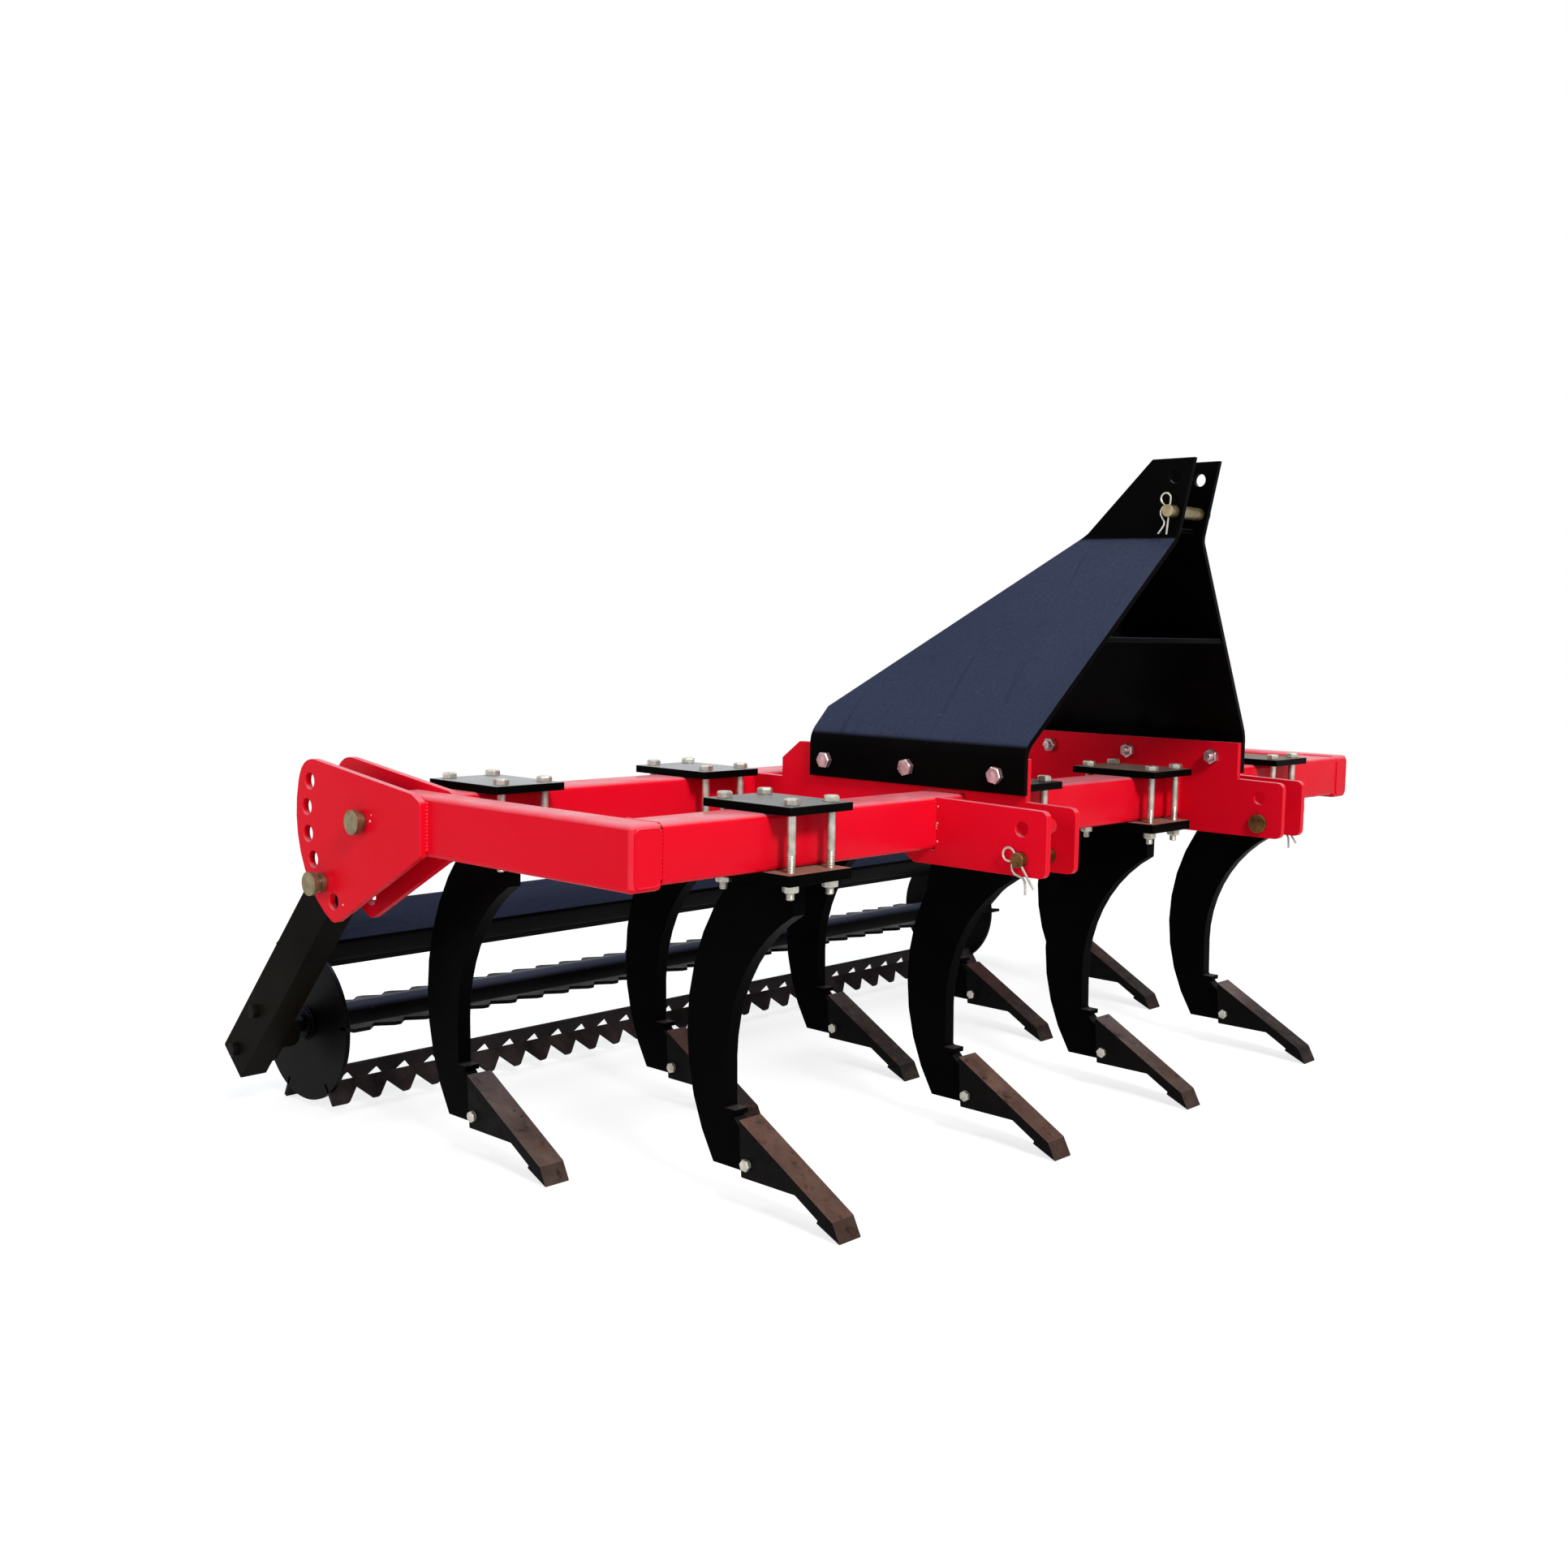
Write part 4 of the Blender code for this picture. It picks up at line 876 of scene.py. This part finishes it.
def add_roller_frame():
    for side in ("left", "right"):
        dress("roller_arm_" + side, ARM_BLACK, "roller_frame", ARM_EDGE)
        dress("roller_bearing_" + side, ARM_BLACK, "roller_frame")
    dress("roller_cross_tube", BLACK, "roller_frame", 0.0)

    def bolts(shape):
        for side in (-1, 1):
            for along, across in BEARING_BOLTS:
                place = on_arm(along, across)
                outer = Vector((side * ARM_OUTER_X, place.y, place.z))
                bolt_head(shape, outer, (side, 0, 0), BEARING_HEAD)
                inner = Vector((side * (BEARING_HIGH.x - BEARING_PLATE), place.y, place.z))
                nut_end(shape, inner, (-side, 0, 0), BEARING_FREE, BEARING_NUT)
    show("bearing_bolts", new_mesh(bolts), TINE_BLACK, "roller_frame", (), LARGE_BOLT_EDGE)

    def welds(shape):
        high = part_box("roller_cross_tube")[1]
        corners = [on_arm(a, b) for a, b in CROSS_CORNERS]
        for side in (-1, 1):
            x = side * (high.x - 0.001)
            for start, end in zip(corners, corners[1:] + corners[:1]):
                bead(shape, (x, start.y, start.z), (x, end.y, end.z), ARM_BEAD)
    show("arm_welds", new_mesh(welds), ARM_BLACK, "roller_frame")


def bar_turn(number):
    """From the plane that a toothed bar is drawn in to its place round the axle."""
    angle = TINE_LEAN + 2 * math.pi * number / TINE_BARS
    return Matrix.Translation(AXLE) @ Matrix.Rotation(angle, 4, "X")


def add_roller():
    inner = ROLLER_HALF - DISC_THICKNESS

    def tines(shape):
        count = int((2 * ROLLER_HALF - TOOTH_TIP) / TOOTH_PITCH)
        first = -(count * TOOTH_PITCH) / 2
        outline = [(-ROLLER_HALF, TINE_ROOT), (-ROLLER_HALF, TINE_RADIUS)]
        radii = [0.0, TINE_END_ROUND]
        for i in range(count):
            left = first + i * TOOTH_PITCH
            outline += [
                (left + TOOTH_TIP / 2, TINE_RADIUS),
                (left + TOOTH_PITCH / 2, TINE_RADIUS - TOOTH_DEPTH),
                (left + TOOTH_PITCH - TOOTH_TIP / 2, TINE_RADIUS)]
            radii += [TOOTH_TIP_ROUND, TOOTH_ROOT_ROUND, TOOTH_TIP_ROUND]
        outline += [(ROLLER_HALF, TINE_RADIUS), (ROLLER_HALF, TINE_ROOT)]
        ring = rounded(outline, radii + [TINE_END_ROUND, 0.0], 3)
        for i in range(TINE_BARS):
            prism(shape, ring, -TINE_THICKNESS / 2, TINE_THICKNESS / 2, bar_turn(i))
    show("roller_tines", new_mesh(tines), TINE_BLACK, "roller", ("roller",), TINE_EDGE, 1)

    def core(shape):
        tube_end = inner + TUBE_SEAT
        turned(shape, ((-tube_end, TUBE_RADIUS), (tube_end, TUBE_RADIUS)), AXLE, (1, 0, 0), 48)
        disc = (
            (inner, DISC_RADIUS - DISC_CHAMFER), (inner + DISC_CHAMFER, DISC_RADIUS),
            (ROLLER_HALF - DISC_CHAMFER, DISC_RADIUS), (ROLLER_HALF, DISC_RADIUS - DISC_CHAMFER))
        stub_end = BEARING_LOW.x + STUB_SEAT
        stub = [(ROLLER_HALF + out, radius) for out, radius in COLLAR]
        stub += [(stub[-1][0], STUB_RADIUS), (stub_end, STUB_RADIUS)]
        for side in (-1, 1):
            turned(shape, disc, AXLE, (side, 0, 0), 96)
            turned(shape, stub, AXLE, (side, 0, 0), 40)
    show("roller_core", new_mesh(core), CAGE_BLACK, "roller")

    def welds(shape):
        for side in (-1, 1):
            ring_bead(shape, AXLE + Vector((side * inner, 0, 0)), (side, 0, 0), TUBE_RADIUS + 0.001)
            ring_bead(shape, AXLE + Vector((side * ROLLER_HALF, 0, 0)), (side, 0, 0), COLLAR_BEAD)
            for i in range(TINE_BARS):
                turn = bar_turn(i)
                for face in (-1, 1):
                    y = face * TINE_THICKNESS / 2
                    bead(
                        shape, turn @ Vector((side * inner, y, TINE_ROOT + 0.002)),
                        turn @ Vector((side * inner, y, DISC_RADIUS - 0.003)), FINE_BEAD)
    show("roller_welds", new_mesh(welds), CAGE_BLACK, "roller")


def add_welds():
    beam_low, beam_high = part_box("front_beam")
    rear_low, rear_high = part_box("rear_beam")
    side_low, side_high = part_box("side_beam_left")
    outer_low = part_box("sector_outer_left")[0]
    inner_low, inner_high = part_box("sector_inner_left")

    def build(shape):
        for sign in (-1, 1):
            # Front beam against the side beams, behind, at the seam in front, below and above
            x = sign * beam_high.x
            upright_bead(shape, x, beam_high.y, beam_low.z, beam_high.z, 0.008)
            upright_bead(
                shape, x + sign * 0.0030, beam_low.y + 0.0040, beam_low.z, beam_high.z, 0.010, SEAM_BEAD)
            for z in (beam_low.z, beam_high.z):
                bead(shape, (x, beam_low.y + 0.010, z), (x, beam_high.y - 0.010, z), FINE_BEAD)
            # Rear beam against the inner sector plates, and both sector plates against the side beams
            for y in (rear_low.y, rear_high.y):
                upright_bead(shape, sign * rear_high.x, y, rear_low.z, rear_high.z, 0.008)
            for x, y in ((outer_low.x, outer_low.y), (inner_high.x, inner_low.y)):
                upright_bead(shape, sign * x, y, side_low.z, side_high.z, 0.010, SEAM_BEAD)
        # Lugs on the front beam's face
        for name in ("hitch_plate_left", "outer_lug_left"):
            low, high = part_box(name)
            for sign in (-1, 1):
                for x in (low.x, high.x):
                    bead(shape, at(sign * x, 0, 0.008), at(sign * x, 0, 0.092), LUG_BEAD)
        # Hitch plates on top of the front beam and between the beams
        low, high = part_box("hitch_plate_left")
        for sign in (-1, 1):
            for x in (low.x, high.x):
                bead(shape, at(sign * x, 0.010, BEAM), at(sign * x, 0.090, BEAM), PLATE_BEAD)
                for y in (REAR_BEAM_Y, BEAM):
                    bead(shape, at(sign * x, y, 0.012), at(sign * x, y, BEAM - 0.012), PLATE_BEAD)
    show("weld_beads", new_mesh(build), RED, "implement")

    def tower(shape):
        low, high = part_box("tower_brace")
        for sign in (-1, 1):
            x = sign * high.x
            bead(shape, (x, low.y + 0.004, high.z), (x, high.y - 0.004, high.z), BRACE_BEAD)
    show("tower_welds", new_mesh(tower), BLACK, "implement")


# Studio
def add_camera():
    data = bpy.data.cameras.new("photo_camera")
    camera = bpy.data.objects.new("photo_camera", data)
    bpy.context.scene.collection.objects.link(camera)
    forward = (Vector(CAMERA_TARGET) - Vector(CAMERA_PLACE)).normalized()
    right = forward.cross(Vector((0, 0, 1))).normalized()
    up = right.cross(forward)
    turn, lift = math.cos(CAMERA_ROLL), math.sin(CAMERA_ROLL)
    right, up = right * turn + up * lift, up * turn - right * lift
    basis = Matrix((right, up, -forward)).transposed().to_4x4()
    camera.matrix_world = Matrix.Translation(CAMERA_PLACE) @ basis
    data.lens = CAMERA_LENS
    data.sensor_width = CAMERA_SENSOR
    data.shift_x, data.shift_y = CAMERA_SHIFT
    data.clip_end = CAMERA_REACH
    bpy.context.scene.camera = camera


def add_lamp(name, place, aim, size, power, colour):
    """A round area lamp that looks at its aim."""
    data = bpy.data.lights.new(name, "AREA")
    data.shape = "DISK"
    data.size = size
    data.energy = power
    data.color = colour
    lamp = bpy.data.objects.new(name, data)
    bpy.context.scene.collection.objects.link(lamp)
    lamp.location = place
    lamp.rotation_euler = (Vector(aim) - Vector(place)).to_track_quat("-Z", "Y").to_euler()


def seen_rays(tree):
    """1 on camera, glossy and transmission rays, 0 on the rest."""
    rays = node(tree, "ShaderNodeLightPath")
    total = rays.outputs["Is Camera Ray"]
    for key in ("Is Glossy Ray", "Is Transmission Ray"):
        made = node(tree, "ShaderNodeMath", operation="MAXIMUM")
        tree.links.new(total, made.inputs[0])
        tree.links.new(rays.outputs[key], made.inputs[1])
        total = made.outputs[0]
    return total


def blended(tree, factor, first, second):
    """A shader that goes from a first to a second by a factor."""
    made = node(tree, "ShaderNodeMixShader")
    tree.links.new(factor, made.inputs[0])
    tree.links.new(first.outputs[0], made.inputs[1])
    tree.links.new(second.outputs[0], made.inputs[2])
    return made


def add_world():
    """A dim blue dome that lights the part, and a white background for what is seen."""
    world = bpy.data.worlds.new("studio")
    bpy.context.scene.world = world
    world.use_nodes = True
    tree = world.node_tree
    tree.nodes.clear()
    out = node(tree, "ShaderNodeOutputWorld")
    dome = node(tree, "ShaderNodeBackground", Color=DOME, Strength=DOME_STRENGTH)
    white = node(tree, "ShaderNodeBackground", Color=WHITE, Strength=1.0)
    blend = blended(tree, seen_rays(tree), dome, white)
    tree.links.new(blend.outputs[0], out.inputs["Surface"])


def add_floor():
    """A floor that takes a soft shadow and fades to plain white away from the part."""
    mesh = bpy.data.meshes.new("floor")
    half = FLOOR_HALF
    corners = ((-half, -half, 0), (half, -half, 0), (half, half, 0), (-half, half, 0))
    mesh.from_pydata(corners, (), ((0, 1, 2, 3),))
    floor = bpy.data.objects.new("floor", mesh)
    bpy.context.scene.collection.objects.link(floor)
    floor.location.z = -FLOOR_DROP
    material = bpy.data.materials.new("floor")
    material.use_nodes = True
    tree = material.node_tree
    tree.nodes.clear()
    out = node(tree, "ShaderNodeOutputMaterial")
    plain = node(tree, "ShaderNodeBsdfDiffuse", Color=FLOOR_PLAIN)
    lit = node(tree, "ShaderNodeBsdfDiffuse", Color=FLOOR_LIT)
    glow = node(tree, "ShaderNodeEmission", Color=WHITE, Strength=FLOOR_GLOW)
    near = node(tree, "ShaderNodeAddShader")
    tree.links.new(lit.outputs[0], near.inputs[0])
    tree.links.new(glow.outputs[0], near.inputs[1])
    away = node(tree, "ShaderNodeEmission", Color=WHITE, Strength=1.0)
    place = node(tree, "ShaderNodeTexCoord")
    reach = node(tree, "ShaderNodeVectorMath", operation="LENGTH")
    tree.links.new(place.outputs["Object"], reach.inputs[0])
    seen = blended(tree, spread(tree, reach.outputs["Value"], *FLOOR_FADE), near, away)
    blend = blended(tree, seen_rays(tree), plain, seen)
    tree.links.new(blend.outputs[0], out.inputs["Surface"])
    mesh.materials.append(material)


def main():
    bpy.context.scene.view_settings.view_transform = "Standard"
    add_camera()
    add_world()
    add_floor()
    for lamp in LAMPS:
        add_lamp(*lamp)
    add_red_frame()
    add_end_caps()
    add_tower()
    add_pins()
    add_clips()
    add_tools()
    add_roller_frame()
    add_roller()
    add_welds()
    add_chips()


main()
